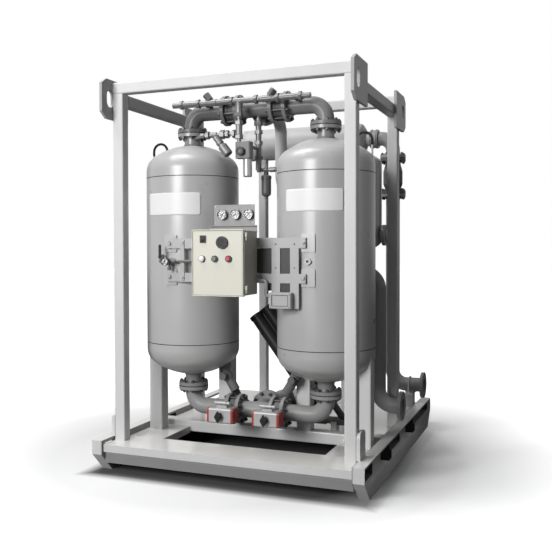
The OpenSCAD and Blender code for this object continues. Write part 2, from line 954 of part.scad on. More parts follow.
// Steps of a union nut at z
function union_steps(z) = [[z - 22, z + 22, union_r - 4], [z - 11, z + 11, union_r + 1]];

// Leaning bonnet of a Y-pattern valve on the purge line
module y_bonnet(x, lean) {
    translate([x, purge_y, purge_z]) rotate([0, lean * 40, 0]) turned([[0, 50, 14], [50, 76, 18]]);
}

module header_space() {
    bar_x(-tower_x + elbow_r, tower_x - elbow_r, tower_y, top_z, pipe_r + seat_gap);
}

// Filling branch from the first drop to the left neck, with a Y valve that leans down
module left_fill() {
    turn = [-branch_turn, purge_y, branch_z];
    back = unit([-1, 1, 0]);
    aim([0, purge_y, branch_z], [1, 0, 0]) turned(concat(
        [[-branch_turn - 12, drop_x, fill_r], [-branch_turn - 14, -branch_turn + 14, fill_r + 5]],
        [for (f = left_fittings) [f[0], f[1], fill_r + f[2]]]
    ));
    translate([fill_valve_x, purge_y, branch_z]) rotate([0, fill_valve_lean, 0])
        turned([[0, 90, 14], [84, 176, 21], [150, 176, 24]]);
    difference() {
        aim(turn, back) turned([[0, norm([tower_x - branch_turn, tower_y - purge_y]), fill_r - 1]]);
        bar_z(shell_z1, top_face, -tower_x, tower_y, pipe_r + seat_gap);
    }
}

// Purge line above the header with taps to both elbows, two drops and the filling branches
module purge_line() {
    color("gray") {
        aim([0, purge_y, purge_z], [1, 0, 0]) turned(concat(
            [[-570, -500, purge_end_r], [-500, 380, purge_r], [380, 446, purge_end_r]],
            [for (x = union_xs) for (st = union_steps(x)) st],
            [for (x = y_valve_xs) [x - 30, x + 30, purge_r + 5]]
        ));
        y_bonnet(y_valve_xs[0], -1);
        y_bonnet(y_valve_xs[1], 1);
        left_fill();
        for (x = [-tap_x, tap_x]) difference() {
            aim([x, purge_y, purge_z], [0, 1, 0])
                turned([[0, tower_y - purge_y - pipe_r / 2, purge_end_r], [55, 80, purge_r + 3]]);
            header_space();
        }
        translate([drop_x, purge_y, 0]) turned(concat(
            [[regulator_z + 55, purge_z, drop_r], [purge_z - 60, purge_z - 5, drop_r + 4]],
            union_steps(purge_z - 97)
        ));
        difference() {
            translate([spool_drop_x, tower_y, 0]) turned(concat(
                [[spool_end, top_z - pipe_r / 2, drop_r], [top_z - 330, top_z - 250, drop_r + 5]],
                union_steps(top_z - 105)
            ));
            header_space();
        }
        difference() {
            aim([0, tower_y, fill_z], [1, 0, 0]) turned(concat(
                [[spool_drop_x, tower_x - tower_r + 20, fill_r]],
                [for (f = right_fittings) [f[0], f[1], fill_r + f[2]]]
            ));
            tower_space();
        }
    }
}

// Pressure regulator with its bowl below the first drop, joined to the second one
module purge_regulator() {
    x = drop_x + regulator_off;
    color("dimgray") difference() {
        union() {
            span_z(regulator_z - 55, regulator_z + 55)
                rrect(drop_x - 18, spool_drop_x + 16, purge_y - 32, purge_y + 32, 14);
            bar_y(purge_y - 58, purge_y, x - 35, regulator_z - 10, 27);
            translate([x, purge_y, regulator_z]) turned([[-62, 0, 31], [-180, -62, 28]]);
            bar_y(purge_y, tower_y - drop_r, spool_drop_x, regulator_z + 25, 11);
        }
        bar_z(spool_end - 10, top_z, spool_drop_x, tower_y, drop_r + 5 + seat_gap);
    }
}

// Blow-down valves under the towers, hoses and the exhaust manifold
module blowdown_line() {
    foot = [blow_mid.x, manifold_y, manifold_z];
    u = unit(blow_mid - blow_top);
    v = unit(foot - blow_mid);
    color("gray") difference() {
        union() {
            both_sides() {
                aim(blow_top, u) turned([[0, 60, blow_r], [60, 120, blow_r + 10], [120, 215, blow_r + 4]]);
                aim(blow_top + u * 90, [0, -1, 0]) turned([[0, 62, 16], [62, 84, 26]]);
                aim(blow_mid - v * 20, v) cylinder(r = blow_r - 2, h = norm(foot - blow_mid) + 20);
            }
            aim([0, manifold_y, manifold_z], [1, 0, 0]) turned([
                [-blow_mid.x - 40, 600, blow_r], [-blow_mid.x - 45, -blow_mid.x - 25, blow_r + 6],
                [580, 605, blow_r + 6]
            ]);
        }
        tower_space();
        for (m = [muffler_a, muffler_b]) aim(m, muffler_axis) cylinder(r = 25 + seat_gap, h = 960);
    }
}

// Two absorption mufflers with end caps, on stubs from the manifold
module mufflers() {
    color("black") difference() {
        union() {
            for (m = [muffler_a, muffler_b]) {
                aim(m, muffler_axis) {
                    cylinder(r = muffler_r + 5, h = 26);
                    translate([0, 0, 26]) cylinder(r = muffler_r, h = muffler_l - 52);
                    translate([0, 0, muffler_l - 26]) cylinder(r = muffler_r + 5, h = 26);
                    cylinder(r = 25, h = (m.z - manifold_z) / -muffler_axis.z);
                }
            }
        }
        bar_x(-tower_x, 600, manifold_y, manifold_z, blow_r + seat_gap);
    }
}

module at_prefilter() {
    translate([pre_at.x, pre_at.y, 0]) children();
}

// Upright inlet filter with a bottom flange and a blind side nozzle
module prefilter() {
    nozzle = prefilter_r + 13;
    color("darkgray") difference() {
        at_prefilter() {
            rotate_extrude() {
                vessel_2d(prefilter_r, pre_z0, pre_z1, pre_knuckle, 0);
                rect(0, pipe_r, pre_face, pre_z0);
            }
            aim([0, 0, pre_face], [0, 0, 1]) flange(pipe_ri);
            bar_x(prefilter_r - 20, nozzle, 0, pre_side_z, pre_stub_r);
            bar_x(nozzle, nozzle + flange_t, 0, pre_side_z, pre_cap_r);
            bar_x(nozzle + flange_t, nozzle + flange_t + 12, 0, pre_side_z, pre_stub_r);
        }
        at_prefilter() rotate_extrude()
            vessel_2d(prefilter_r, pre_z0, pre_z1, pre_knuckle, pre_wall);
        at_prefilter() bar_z(pre_face - eps, pre_z0, 0, 0, pipe_ri);
        bar_x(pre_at.x - prefilter_r - eps, pre_at.x, pre_at.y, pre_out_z, pipe_ri);
    }
}

// Inlet flange at the right side, riser, tee with drip leg below the filter
module inlet_riser() {
    p = [
        [inlet_x - flange_t, pre_at.y, inlet_z],
        [inlet_riser_x, pre_at.y, inlet_z],
        [inlet_riser_x, pre_at.y, inlet_tee_z],
        [pre_at.x, pre_at.y, inlet_tee_z]
    ];
    face = pre_face - gasket_t;
    color("darkgray") {
        difference() {
            union() {
                pipe_run(p, pipe_r, 0, riser_bend);
                at_prefilter() bar_z(drip_z, face, 0, 0, pipe_r - 1);
                at_prefilter() bar_z(drip_z - 20, drip_z + 30, 0, 0, pipe_r + 5);
            }
            pipe_run(p, pipe_ri, 0, riser_bend);
            at_prefilter() bar_z(drip_z, face + eps, 0, 0, pipe_ri - 1);
        }
        aim([pre_at.x, pre_at.y, face - flange_t], [0, 0, 1]) flange(pipe_ri - 1);
        aim([inlet_x - flange_t, pre_at.y, inlet_z], [1, 0, 0]) flange(pipe_ri);
    }
}

// Pipe from the inlet filter down to the bottom tee
module prefilter_outlet() {
    y0 = bottom_branch_y + gasket_t;
    color("darkgray") {
        difference() {
            pipe_run([
                [0, y0 + flange_t, bottom_z], [0, 100, bottom_z], [210, 100, bottom_z],
                [210, 100, pre_out_z], [pre_at.x - prefilter_r + 30, 100, pre_out_z]
            ], pipe_r, pipe_ri, elbow_r);
            at_prefilter() bar_z(pre_z0, pre_z1, 0, 0, prefilter_r + seat_gap);
        }
        aim([0, y0, bottom_z], [0, 1, 0]) flange(pipe_ri);
    }
}

module at_after_filter() {
    translate([0, rear_y, after_z]) rotate([0, 90, 0]) children();
}

// Long outlet filter lying across the rear
module after_filter() {
    color("silver") difference() {
        at_after_filter() rotate_extrude() {
            vessel_2d(after_r, after_x0, after_x1, after_knuckle, 0);
            rect(0, pipe_r, after_x1, after_end);
        }
        at_after_filter() rotate_extrude()
            vessel_2d(after_r, after_x0, after_x1, after_knuckle, after_wall);
        bar_x(after_x1, after_end + eps, rear_y, after_z, pipe_ri);
        bar_z(after_z - after_r - eps, after_z, 0, rear_y, branch_ri);
        for (x = [after_x0 + 30, after_x1 - 30]) {
            bar_x(x, x + seam_w, rear_y, after_z, after_r + eps, after_r - seam_d);
        }
    }
}

// Outlet of the top tee, looped under the long filter
module outlet_crossover() {
    y0 = top_branch_y + gasket_t;
    color("darkgray") {
        difference() {
            pipe_run([
                [0, y0 + flange_t, top_z], [0, 0, top_z], [0, 0, cross_z],
                [0, rear_y, cross_z], [0, rear_y, after_z - after_r + 20]
            ], branch_r, branch_ri, branch_bend);
            bar_x(after_x0, after_x1, rear_y, after_z, after_r + seat_gap);
        }
        aim([0, y0, top_z], [0, 1, 0]) branch_flange();
    }
}

// Elbow from the long filter to the outlet check valve, with a grooved coupling
module outlet_elbow() {
    x0 = after_end + gasket_t;
    xc = after_end + gasket_t / 2;
    color("darkgray") {
        pipe_run([
            [x0, rear_y, after_z], [out_x, rear_y, after_z], [out_x, rear_y, out_flange_z + flange_t]
        ], pipe_r, pipe_ri, elbow_r);
        aim([out_x, rear_y, out_flange_z], [0, 0, 1]) flange(pipe_ri);
        bar_x(xc - coupling_w / 2, x0, rear_y, after_z, coupling_r, pipe_r + seat_gap);
        bar_x(x0, xc + coupling_w / 2, rear_y, after_z, coupling_r, pipe_r);
        for (x = [xc - 24, xc + 16]) bar_x(x, x + 8, rear_y, after_z, coupling_r + 5, coupling_r - 2);
    }
}

// Flanged check valve body, swelling in the middle
module outlet_check_valve() {
    z1 = out_flange_z - gasket_t;
    z0 = z1 - out_valve_l;
    bulge = pipe_r + 22;
    color("dimgray") {
        translate([out_x, rear_y, 0]) rotate_extrude() polygon([
            [pipe_ri, z0 + flange_t], [pipe_r, z0 + flange_t], [bulge, z0 + 80], [bulge, z1 - 110],
            [pipe_r, z1 - flange_t], [pipe_ri, z1 - flange_t], [bulge - 10, z1 - 112], [bulge - 10, z0 + 82]
        ]);
        for (z = [z0, z1 - flange_t]) aim([out_x, rear_y, z], [0, 0, 1]) flange(pipe_ri);
        bar_y(rear_y - bulge - 30, rear_y - bulge + 12, out_x, (z0 + z1) / 2, 36);
    }
}

// Outlet pipe down the rear corner to the side flange
module outlet_riser() {
    z1 = out_flange_z - 2 * gasket_t - out_valve_l;
    color("darkgray") {
        pipe_run([
            [out_x, rear_y, z1 - flange_t], [out_x, rear_y, outlet_z], [outlet_x - flange_t, rear_y, outlet_z]
        ], pipe_r, pipe_ri, riser_bend);
        aim([out_x, rear_y, z1 - flange_t], [0, 0, 1]) flange(pipe_ri);
        aim([outlet_x - flange_t, rear_y, outlet_z], [1, 0, 0]) flange(pipe_ri);
    }
}

// Half of a hinge knuckle: leaf from the body edge to the pin axis
module hinge_leaf(x0, y0, z0) {
    span_z(z0, z0 + hinge_l - seat_gap) rect(x0, hinge_x, y0, y0 + 5);
}

// Control box, open to the front, with a rail and a controller inside
module control_box() {
    color("gray") {
        difference() {
            union() {
                span_y(box_front, box_back) rrect(box_x0, box_x1, box_z0, box_z1, window_r);
                for (z = hinge_zs) hinge_leaf(box_x1 - eps, hinge_y + 1, z - hinge_l);
                for (z = hinge_zs) bar_z(z - hinge_l, z - seat_gap, hinge_x, hinge_y, hinge_r);
            }
            span_y(box_front - eps, box_back - box_wall)
                rrect(box_x0 + box_wall, box_x1 - box_wall, box_z0 + box_wall, box_z1 - box_wall, 6);
            for (z = hinge_zs) bar_z(z - hinge_l - eps, z, hinge_x, hinge_y, hinge_pin + run_gap);
        }
        span_y(box_back - 20, box_back - box_wall) rect(box_x0 + 40, box_x1 - 40, ctl_z - 18, ctl_z + 18);
        span_y(box_back - 85, box_back - 20) rect(box_x0 + 60, box_x0 + 200, ctl_z - 50, ctl_z + 50);
    }
}

// Folded door with hinge pins and holes for its fittings
module control_door() {
    x0 = box_x0 - door_lap;
    x1 = box_x1 + door_lap;
    z0 = box_z0 - door_lap;
    z1 = box_z1 + door_lap;
    color("ivory") {
        difference() {
            span_y(door_front, door_back) rrect(x0, x1, z0, z1, window_r);
            span_y(door_front + door_skin, door_back + eps)
                rrect(x0 + door_skin, x1 - door_skin, z0 + door_skin, z1 - door_skin, 6);
            for (p = [lamp_at, green_at, red_at]) {
                bar_y(door_front - eps, door_back, p.x, p.y, hole_r);
            }
            bar_y(door_front - eps, door_back, sounder_at.x, sounder_at.y, sounder_r - 8);
            span_y(door_front - eps, door_back) translate(rocker_at) square([36, 40], center = true);
        }
        for (z = hinge_zs) {
            hinge_leaf(x1 - eps, door_back - 7, z);
            bar_z(z, z + hinge_l - seat_gap, hinge_x, hinge_y, hinge_r);
            bar_z(z - hinge_l, z + seat_gap, hinge_x, hinge_y, hinge_pin);
        }
    }
}

// Rocker turning on trunnions, tipped to its off side at rest
module rocker_switch() {
    color("black") translate([rocker_at.x, rocker_y, rocker_at.y]) {
        rotate([-10, 0, 0]) span_x(-rocker_w / 2, rocker_w / 2) difference() {
            circle(rocker_r);
            for (s = [-1, 1]) translate([-rocker_r + 3, 0]) rotate(s * 10) translate([-20, -1])
                rect(0, 20, s > 0 ? -30 : 0, s > 0 ? 2 : 32);
        }
        bar_x(-rocker_w / 2 - 4, rocker_w / 2 + 4, 0, 0, trunnion_r);
    }
}

// Bezel with a sleeve through the door
module push_bezel(p, bore) {
    bar_y(door_front - bezel_h, door_front, p.x, p.y, bezel_r, bore);
    bar_y(door_front, door_back - 4, p.x, p.y, sleeve_r, bore);
    bar_y(door_back - 4, door_back + 22, p.x, p.y, sleeve_r + 3);
}

// Dark fittings in the door: sounder, rocker frame, bezels
module door_fittings() {
    sleeve = rocker_w / 2 + 1;
    color("dimgray") {
        push_bezel(lamp_at, push_r + run_gap);
        push_bezel(green_at, push_r + run_gap);
        push_bezel(red_at, push_r + run_gap);
        bar_y(door_front - 14, door_front, sounder_at.x, sounder_at.y, sounder_r);
        bar_y(door_front - 18, door_front - 14, sounder_at.x, sounder_at.y, sounder_r - 6, sounder_r - 14);
        bar_y(door_front, door_back + 30, sounder_at.x, sounder_at.y, sounder_r - 8 - seat_gap);
        difference() {
            union() {
                span_y(door_front - 5, door_front) translate(rocker_at) square([42, 48], center = true);
                span_y(door_front, door_back + 2) translate(rocker_at) square([35.4, 39.4], center = true);
            }
            span_y(door_front - 6, door_back - 2) translate(rocker_at)
                square([2 * sleeve, 2 * (rocker_r + 0.5)], center = true);
            bar_x(rocker_at.x - sleeve - 3.5, rocker_at.x + sleeve + 3.5, rocker_y, rocker_at.y,
                trunnion_r + run_gap);
        }
    }
}

// Domed lens of the pilot lamp
module pilot_light() {
    color("white") translate([lamp_at.x, door_front - bezel_h, lamp_at.y]) rotate([90, 0, 0]) {
        rotate_extrude() intersection() {
            translate([0, -14]) circle(24);
            rect(0, push_r + 4, 0, 12);
        }
        translate([0, 0, -push_end + 10]) cylinder(r = push_r, h = push_end - 10);
    }
}

module push_cap(p) {
    translate([p.x, door_front - bezel_h - 8, p.y]) rotate([-90, 0, 0])
        rotate_extrude() polygon([
            [0, 0], [push_r - 2, 0], [push_r, 2], [push_r, push_end], [0, push_end]
        ]);
}

module green_button() {
    color("darkseagreen") push_cap(green_at);
}

module red_button() {
    color("crimson") push_cap(red_at);
}

// Sheet panel for the three gauges, with a stiff lip above the box
module gauge_panel() {
    color("silver") difference() {
        union() {
            span_y(box_back, bar_front) rect(panel_x0, panel_x1, panel_z0, panel_z1);
            span_y(box_back, bar_front) rect(box_x0 + 5, box_x1, box_z1 - 10, box_z1 + 35);
            span_z(box_z1 + 31, box_z1 + 35) rect(box_x0 + 5, box_x1, box_back - 24, box_back);
        }
        for (x = gauge_xs) bar_y(box_back - eps, bar_front + eps, x, gauge_z, 8 + seat_gap);
    }
}

// Gauge case: shallow cup with a dial face, its back at the local origin, facing -Y
module gauge_case(x, y, z, r) {
    difference() {
        bar_y(y - gauge_d, y, x, z, r);
        bar_y(y - gauge_d - eps, y - gauge_d + dial_depth, x, z, r - 3);
        bar_y(y - gauge_d, y - gauge_d + dial_depth + 6, x, z, 1.5 + run_gap);
    }
}

module gauge_cases() {
    color("white") {
        for (x = gauge_xs) {
            gauge_case(x, box_back, gauge_z, gauge_r);
            bar_y(box_back - 2, bar_back + 4, x, gauge_z, 8);
        }
        gauge_case(port_x[0], tower_gauge_y, port_z, tower_gauge_r);
    }
}

module gauge_lens(x, y, z, r) {
    bar_y(y - gauge_d + 1, y - gauge_d + 1 + lens_t, x, z, r - 3 - run_gap);
}

module gauge_lenses() {
    color("lightcyan") {
        for (x = gauge_xs) gauge_lens(x, box_back, gauge_z, gauge_r);
        gauge_lens(port_x[0], tower_gauge_y, port_z, tower_gauge_r);
    }
}

// Needle with hub and spindle, pointing to the zero mark at the lower left
module gauge_needle(x, y, z, r) {
    dial = y - gauge_d + dial_depth;
    bar_y(dial - 4, dial - seat_gap, x, z, 3.5);
    bar_y(dial - 2, dial + 5, x, z, 1.5);
    span_y(dial - 3, dial - 1.5) translate([x, z]) rotate(225)
        polygon([[-9, -1.6], [-9, 1.6], [r - 9, 0.6], [r - 9, -0.6]]);
}

module left_needle() {
    color("black") gauge_needle(gauge_xs[0], box_back, gauge_z, gauge_r);
}

module middle_needle() {
    color("black") gauge_needle(gauge_xs[1], box_back, gauge_z, gauge_r);
}

module right_needle() {
    color("black") gauge_needle(gauge_xs[2], box_back, gauge_z, gauge_r);
}

module tower_needle() {
    color("black") gauge_needle(port_x[0], tower_gauge_y, port_z, tower_gauge_r);
}

// Bars across both towers, strips, strap and standoffs
module bracket_bars() {
    color("lightgray") {
        difference() {
            union() {
                span_y(bar_front, bar_back) {
                    for (z = bar_zs) rect(bar_x0, bar_x1, z[0], z[1]);
                    for (s = strip_x) rect(s[0], s[1], strip_z0, bar_zs[1][1]);
                }
                span_y(bar_front - 6, bar_front) rect(-413, -385, bar_zs[0][0] + 10, bar_zs[1][1] - 10);
            }
            for (s = strip_x, z = [1370, 1522]) {
                bar_y(bar_front - eps, bar_back + eps, (s[0] + s[1]) / 2, z, 5);
            }
        }
        for (x = [left_stay_x, right_stay_x], z = pad_zs) {
            bar_y(bar_back, pad_face, x, z, stay_r);
            bar_y(bar_front - 10, bar_front, x, z, 9);
        }
        for (z = [bar_zs[0][0] + 30, bar_zs[1][1] - 30]) bar_y(bar_front - 14, bar_front - 6, -399, z, 9);
    }
}

// Small terminal box on the strips, with a conduit to the control box
module junction_box() {
    y0 = bar_front - jbox_d;
    yc = bar_front - jbox_d / 2;
    color("lightgray") {
        span_y(y0, bar_front) rrect(jbox[0], jbox[1], jbox[2], jbox[3], 6);
        difference() {
            span_y(y0 - 5, y0) rrect(jbox[0] + 4, jbox[1] - 4, jbox[2] + 4, jbox[3] - 4, 6);
            span_y(y0 - 6, y0 - 2) rrect(jbox[0] + 16, jbox[1] - 16, jbox[2] + 16, jbox[3] - 16, 4);
        }
        pipe_run([
            [jbox[0], yc, jbox[3] - 25], [jbox[0] - 30, yc, jbox[3] - 25],
            [jbox[0] - 30, yc, jbox[3] + 75], [box_x1, yc, jbox[3] + 75]
        ], 11, 0, 22);
        bar_x(box_x1, box_x1 + 14, yc, jbox[3] + 75, 17);
    }
}

// Fitting on the left tower port: tube to the control box and a stop cock
module gauge_valve() {
    color("gray") difference() {
        union() {
            bar_y(tower_gauge_y, port_face, port_x[0], port_z, 14);
            aim([cock_x, tube_y, port_z], [1, 0, 0])
                turned([[-14, box_x0 - cock_x, tube_r], [-14, 14, tube_r + 4], [78, 108, tube_r + 5]]);
            bar_z(port_z, cock_z, cock_x, tube_y, tube_r - 2);
            bar_y(tube_y - cock_r, tube_y + cock_r, cock_x, cock_z, cock_r);
            translate([port_x[0] + 16, tube_y, port_z]) turned([[-50, 0, tube_r - 2], [-62, -40, tube_r + 4]]);
        }
        bar_y(tube_y - cock_r - eps, tube_y + 4, cock_x, cock_z, lever_pin + run_gap);
    }
}

// Lever of the stop cock, upright when open
module gauge_lever() {
    y1 = tube_y - cock_r - 2;
    color("black") {
        bar_y(y1 - 6, tube_y + 3, cock_x, cock_z, lever_pin);
        span_y(y1 - 6, y1) {
            translate([cock_x, cock_z]) circle(11);
            rrect(cock_x - 9, cock_x + 9, cock_z, cock_z + 84, 8);
        }
    }
}

skid_left_rail();
skid_right_rail();
skid_front_beam();
skid_middle_beam();
skid_rear_beam();
deck_plates();
frame_posts();
cross_top_rails();
side_top_rails();
lifting_lugs();
post_gussets();
pipe_supports();
left_tower();
right_tower();
tower_legs();
desiccant_beds();
top_elbows();
top_tee();
check_valves();
bottom_elbows();
bottom_tee();
butterfly_bodies();
left_valve_disc();
right_valve_disc();
valve_actuators();
actuator_caps();
left_valve_knob();
right_valve_knob();
flange_gaskets();
flange_studs();
purge_line();
purge_regulator();
blowdown_line();
mufflers();
prefilter();
inlet_riser();
prefilter_outlet();
after_filter();
outlet_crossover();
outlet_elbow();
outlet_check_valve();
outlet_riser();
control_box();
control_door();
rocker_switch();
door_fittings();
pilot_light();
green_button();
red_button();
gauge_panel();
gauge_cases();
gauge_lenses();
left_needle();
middle_needle();
right_needle();
tower_needle();
bracket_bars();
junction_box();
gauge_valve();
gauge_lever();
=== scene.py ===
# %% [markdown]
# A twin-tower air dryer stands on a sled skid inside a square lifting frame. The exact solids come
# from CAD and keep their meshes. This lesson adds what CAD leaves out: paint, dials, labels, screws,
# weld beads, sleeves, the studio and the camera.

# %% Load the frame
import json
import math

import bpy
import bmesh
from mathutils import Matrix, Vector


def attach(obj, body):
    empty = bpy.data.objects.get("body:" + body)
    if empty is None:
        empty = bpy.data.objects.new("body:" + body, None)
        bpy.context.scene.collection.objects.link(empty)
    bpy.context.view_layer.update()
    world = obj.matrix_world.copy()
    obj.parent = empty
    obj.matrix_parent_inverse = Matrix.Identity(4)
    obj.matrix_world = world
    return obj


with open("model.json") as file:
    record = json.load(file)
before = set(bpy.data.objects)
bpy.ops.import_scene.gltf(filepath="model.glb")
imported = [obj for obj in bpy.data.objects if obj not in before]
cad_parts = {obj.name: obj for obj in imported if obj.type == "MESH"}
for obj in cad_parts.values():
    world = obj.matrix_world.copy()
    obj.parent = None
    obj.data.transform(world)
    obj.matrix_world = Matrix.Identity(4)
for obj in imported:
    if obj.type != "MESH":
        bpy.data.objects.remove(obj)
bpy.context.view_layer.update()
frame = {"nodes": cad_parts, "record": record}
nodes = frame["nodes"]
ROOT = "skid_and_vessels"
SIDES = (("left", -1), ("right", 1))
TOWER_X, TOWER_Y, TOWER_R = 0.500, -0.480, 0.330
DRIVE_X = 0.165

# %% [markdown]
# The photograph was taken with a normal lens from the right front, a little above the middle of the
# machine. The camera below was solved from the straight edges of the frame, so a point of the model
# falls on its own pixel. The small shift stands for the crop of the picture.

# %% Camera
PICTURE = 552
FOCAL_PX = 765.945
CENTRE_X, CENTRE_Y = 261.79, 264.60
SENSOR_MM = 36.0
EYE = (2.01856, -5.43099, 1.49676)
YAW, PITCH, ROLL = (math.radians(a) for a in (21.847, 1.2244, -0.1504))
scene = bpy.context.scene
cam_data = bpy.data.cameras.new("photo_camera")
cam_data.sensor_fit = "HORIZONTAL"
cam_data.sensor_width = SENSOR_MM
cam_data.lens = FOCAL_PX / PICTURE * SENSOR_MM
cam_data.shift_x = (PICTURE / 2 - CENTRE_X) / PICTURE
cam_data.shift_y = (CENTRE_Y - PICTURE / 2) / PICTURE
cam_data.clip_end = 200.0
camera = bpy.data.objects.new("photo_camera", cam_data)
scene.collection.objects.link(camera)
ahead = Vector((-math.sin(YAW) * math.cos(PITCH), math.cos(YAW) * math.cos(PITCH), -math.sin(PITCH)))
right = Vector((math.cos(YAW), math.sin(YAW), 0.0))
up = right.cross(ahead)
turn = Matrix((right, up, -ahead)).transposed().to_4x4()
camera.matrix_world = Matrix.Translation(EYE) @ turn @ Matrix.Rotation(ROLL, 4, "Z")
scene.camera = camera
print("lens", round(cam_data.lens, 2), "mm")

# %% [markdown]
# A product photograph on white has one large soft light from the left front and a weaker one from
# above, so that the right sides fall into shade. A very weak lamp on the right keeps them from going
# black. A rectangle of light stands for a soft box: the larger it is, the softer the shadow's edge.

# %% Lamps
scene.view_settings.view_transform = "Standard"


def area_light(name, place, target, size, watts):
    data = bpy.data.lights.new(name, "AREA")
    data.shape = "RECTANGLE"
    data.size, data.size_y = size
    data.energy = watts
    lamp = bpy.data.objects.new(name, data)
    scene.collection.objects.link(lamp)
    aim = Vector(target) - Vector(place)
    lamp.matrix_world = Matrix.Translation(place) @ aim.to_track_quat("-Z", "Y").to_matrix().to_4x4()


area_light("key_left", (-1.7, -7.0, 3.1), (0.0, -0.6, 1.3), (2.6, 2.6), 425)
area_light("top_left", (-2.0, -1.4, 6.2), (0.0, -0.2, 1.4), (3.0, 3.0), 275)
area_light("rim_right", (5.5, -2.6, 2.4), (0.6, -0.4, 1.3), (1.6, 2.4), 12)
print("three lamps")

# %% [markdown]
# Shaders and Geometry Nodes are both trees of nodes. A few short helpers keep them readable: they empty
# a tree, add a node, join sockets, and make a sum, a mix, a ramp, a grey or a vector out of values.

# %% Node helpers
def new_nodes(owner):
    owner.use_nodes = True
    tree = owner.node_tree
    tree.nodes.clear()
    return tree


def add(tree, kind, **values):
    node = tree.nodes.new(kind)
    for key, value in values.items():
        setattr(node, key, value)
    return node


def join(tree, a, out, b, socket):
    tree.links.new(a.outputs[out], b.inputs[socket])


def wire(tree, *links):
    for link in links:
        join(tree, *link)


def feed(tree, socket, value):
    if isinstance(value, (int, float, tuple)):
        socket.default_value = value
    else:
        tree.links.new(value, socket)


def maths(tree, kind, a, b=0.0):
    node = add(tree, "ShaderNodeMath", operation=kind)
    feed(tree, node.inputs[0], a)
    feed(tree, node.inputs[1], b)
    return node.outputs[0]


def tint(tree, factor, a, b, kind="MIX"):
    node = add(tree, "ShaderNodeMix", data_type="RGBA", blend_type=kind)
    for index, value in ((0, factor), (6, a), (7, b)):
        feed(tree, node.inputs[index], value)
    return node.outputs[2]


def ramp(tree, value, low, high, at_low, at_high):
    node = add(tree, "ShaderNodeMapRange")
    for label, level in zip(("From Min", "From Max", "To Min", "To Max"), (low, high, at_low, at_high)):
        node.inputs[label].default_value = level
    tree.links.new(value, node.inputs["Value"])
    return node.outputs[0]


def grey_of(tree, value):
    node = add(tree, "ShaderNodeCombineColor")
    for i in range(3):
        tree.links.new(value, node.inputs[i])
    return node.outputs[0]


def triple(tree, x, y, z):
    node = add(tree, "ShaderNodeCombineXYZ")
    for socket, value in zip(node.inputs, (x, y, z)):
        feed(tree, socket, value)
    return node.outputs[0]


print("node helpers ready")

# %% [markdown]
# The room is white where the camera looks at it, a little greyer where paint mirrors it, and nearly
# dark as a light, because the lamps do the lighting.

# %% World
world = bpy.data.worlds.new("white_studio")
scene.world = world
wt = new_nodes(world)


def backdrop(color, strength):
    node = add(wt, "ShaderNodeBackground")
    node.inputs["Color"].default_value = (*color, 1.0)
    node.inputs["Strength"].default_value = strength
    return node


soft = backdrop((0.93, 0.96, 1.0), 0.08)
plain = backdrop((1.0, 1.0, 1.0), 1.0)
mirrored = backdrop((0.8, 0.8, 0.8), 1.0)
path = add(wt, "ShaderNodeLightPath")
seen = maths(wt, "MAXIMUM", path.outputs["Is Camera Ray"], path.outputs["Is Transmission Ray"])
shiny = add(wt, "ShaderNodeMixShader")
blend = add(wt, "ShaderNodeMixShader")
done = add(wt, "ShaderNodeOutputWorld")
wt.links.new(seen, blend.inputs[0])
wire(wt, (path, "Is Glossy Ray", shiny, 0), (soft, 0, shiny, 1), (mirrored, 0, shiny, 2),
     (shiny, 0, blend, 1), (plain, 0, blend, 2), (blend, 0, done, "Surface"))
print("white room")

# %% [markdown]
# The floor is lit like the machine and keeps its shadow. Right beside the skid its colour is darkened,
# a painted shadow that is deepest at the skid's edge. A glow that only the camera sees grows with the
# distance from the machine: near it, the glow is painted light that lifts the shadow; far away, it turns
# the floor plain white. To all but the camera it is dark, so it throws little light back up.

# %% Floor
FLOOR_HALF = 40.0
SKID_HALF = {"X": 0.93, "Y": 1.12}
GLOW_CENTRE = (-0.35, -0.35, 0.0)
floor_mesh = bpy.data.meshes.new("studio_floor")
corners = [(x * FLOOR_HALF, y * FLOOR_HALF, 0) for x, y in ((-1, -1), (1, -1), (1, 1), (-1, 1))]
floor_mesh.from_pydata(corners, [], [(0, 1, 2, 3)])
floor = bpy.data.objects.new("studio_floor", floor_mesh)
scene.collection.objects.link(floor)
floor_mat = bpy.data.materials.new("pale_floor")
ft = new_nodes(floor_mat)
spot = add(ft, "ShaderNodeTexCoord")
away = add(ft, "ShaderNodeVectorMath", operation="DISTANCE")
away.inputs[1].default_value = GLOW_CENTRE
place = add(ft, "ShaderNodeSeparateXYZ")
wire(ft, (spot, "Object", away, 0), (spot, "Object", place, 0))
far = away.outputs["Value"]
# Painted light: a camera-only glow that lifts the floor's shadow near the machine and makes it plain white far
# away.
painted_glow_level = maths(ft, "ADD", ramp(ft, far, 1.20, 1.80, 0.0, 0.27), ramp(ft, far, 1.7, 3.0, 0.0, 0.73))
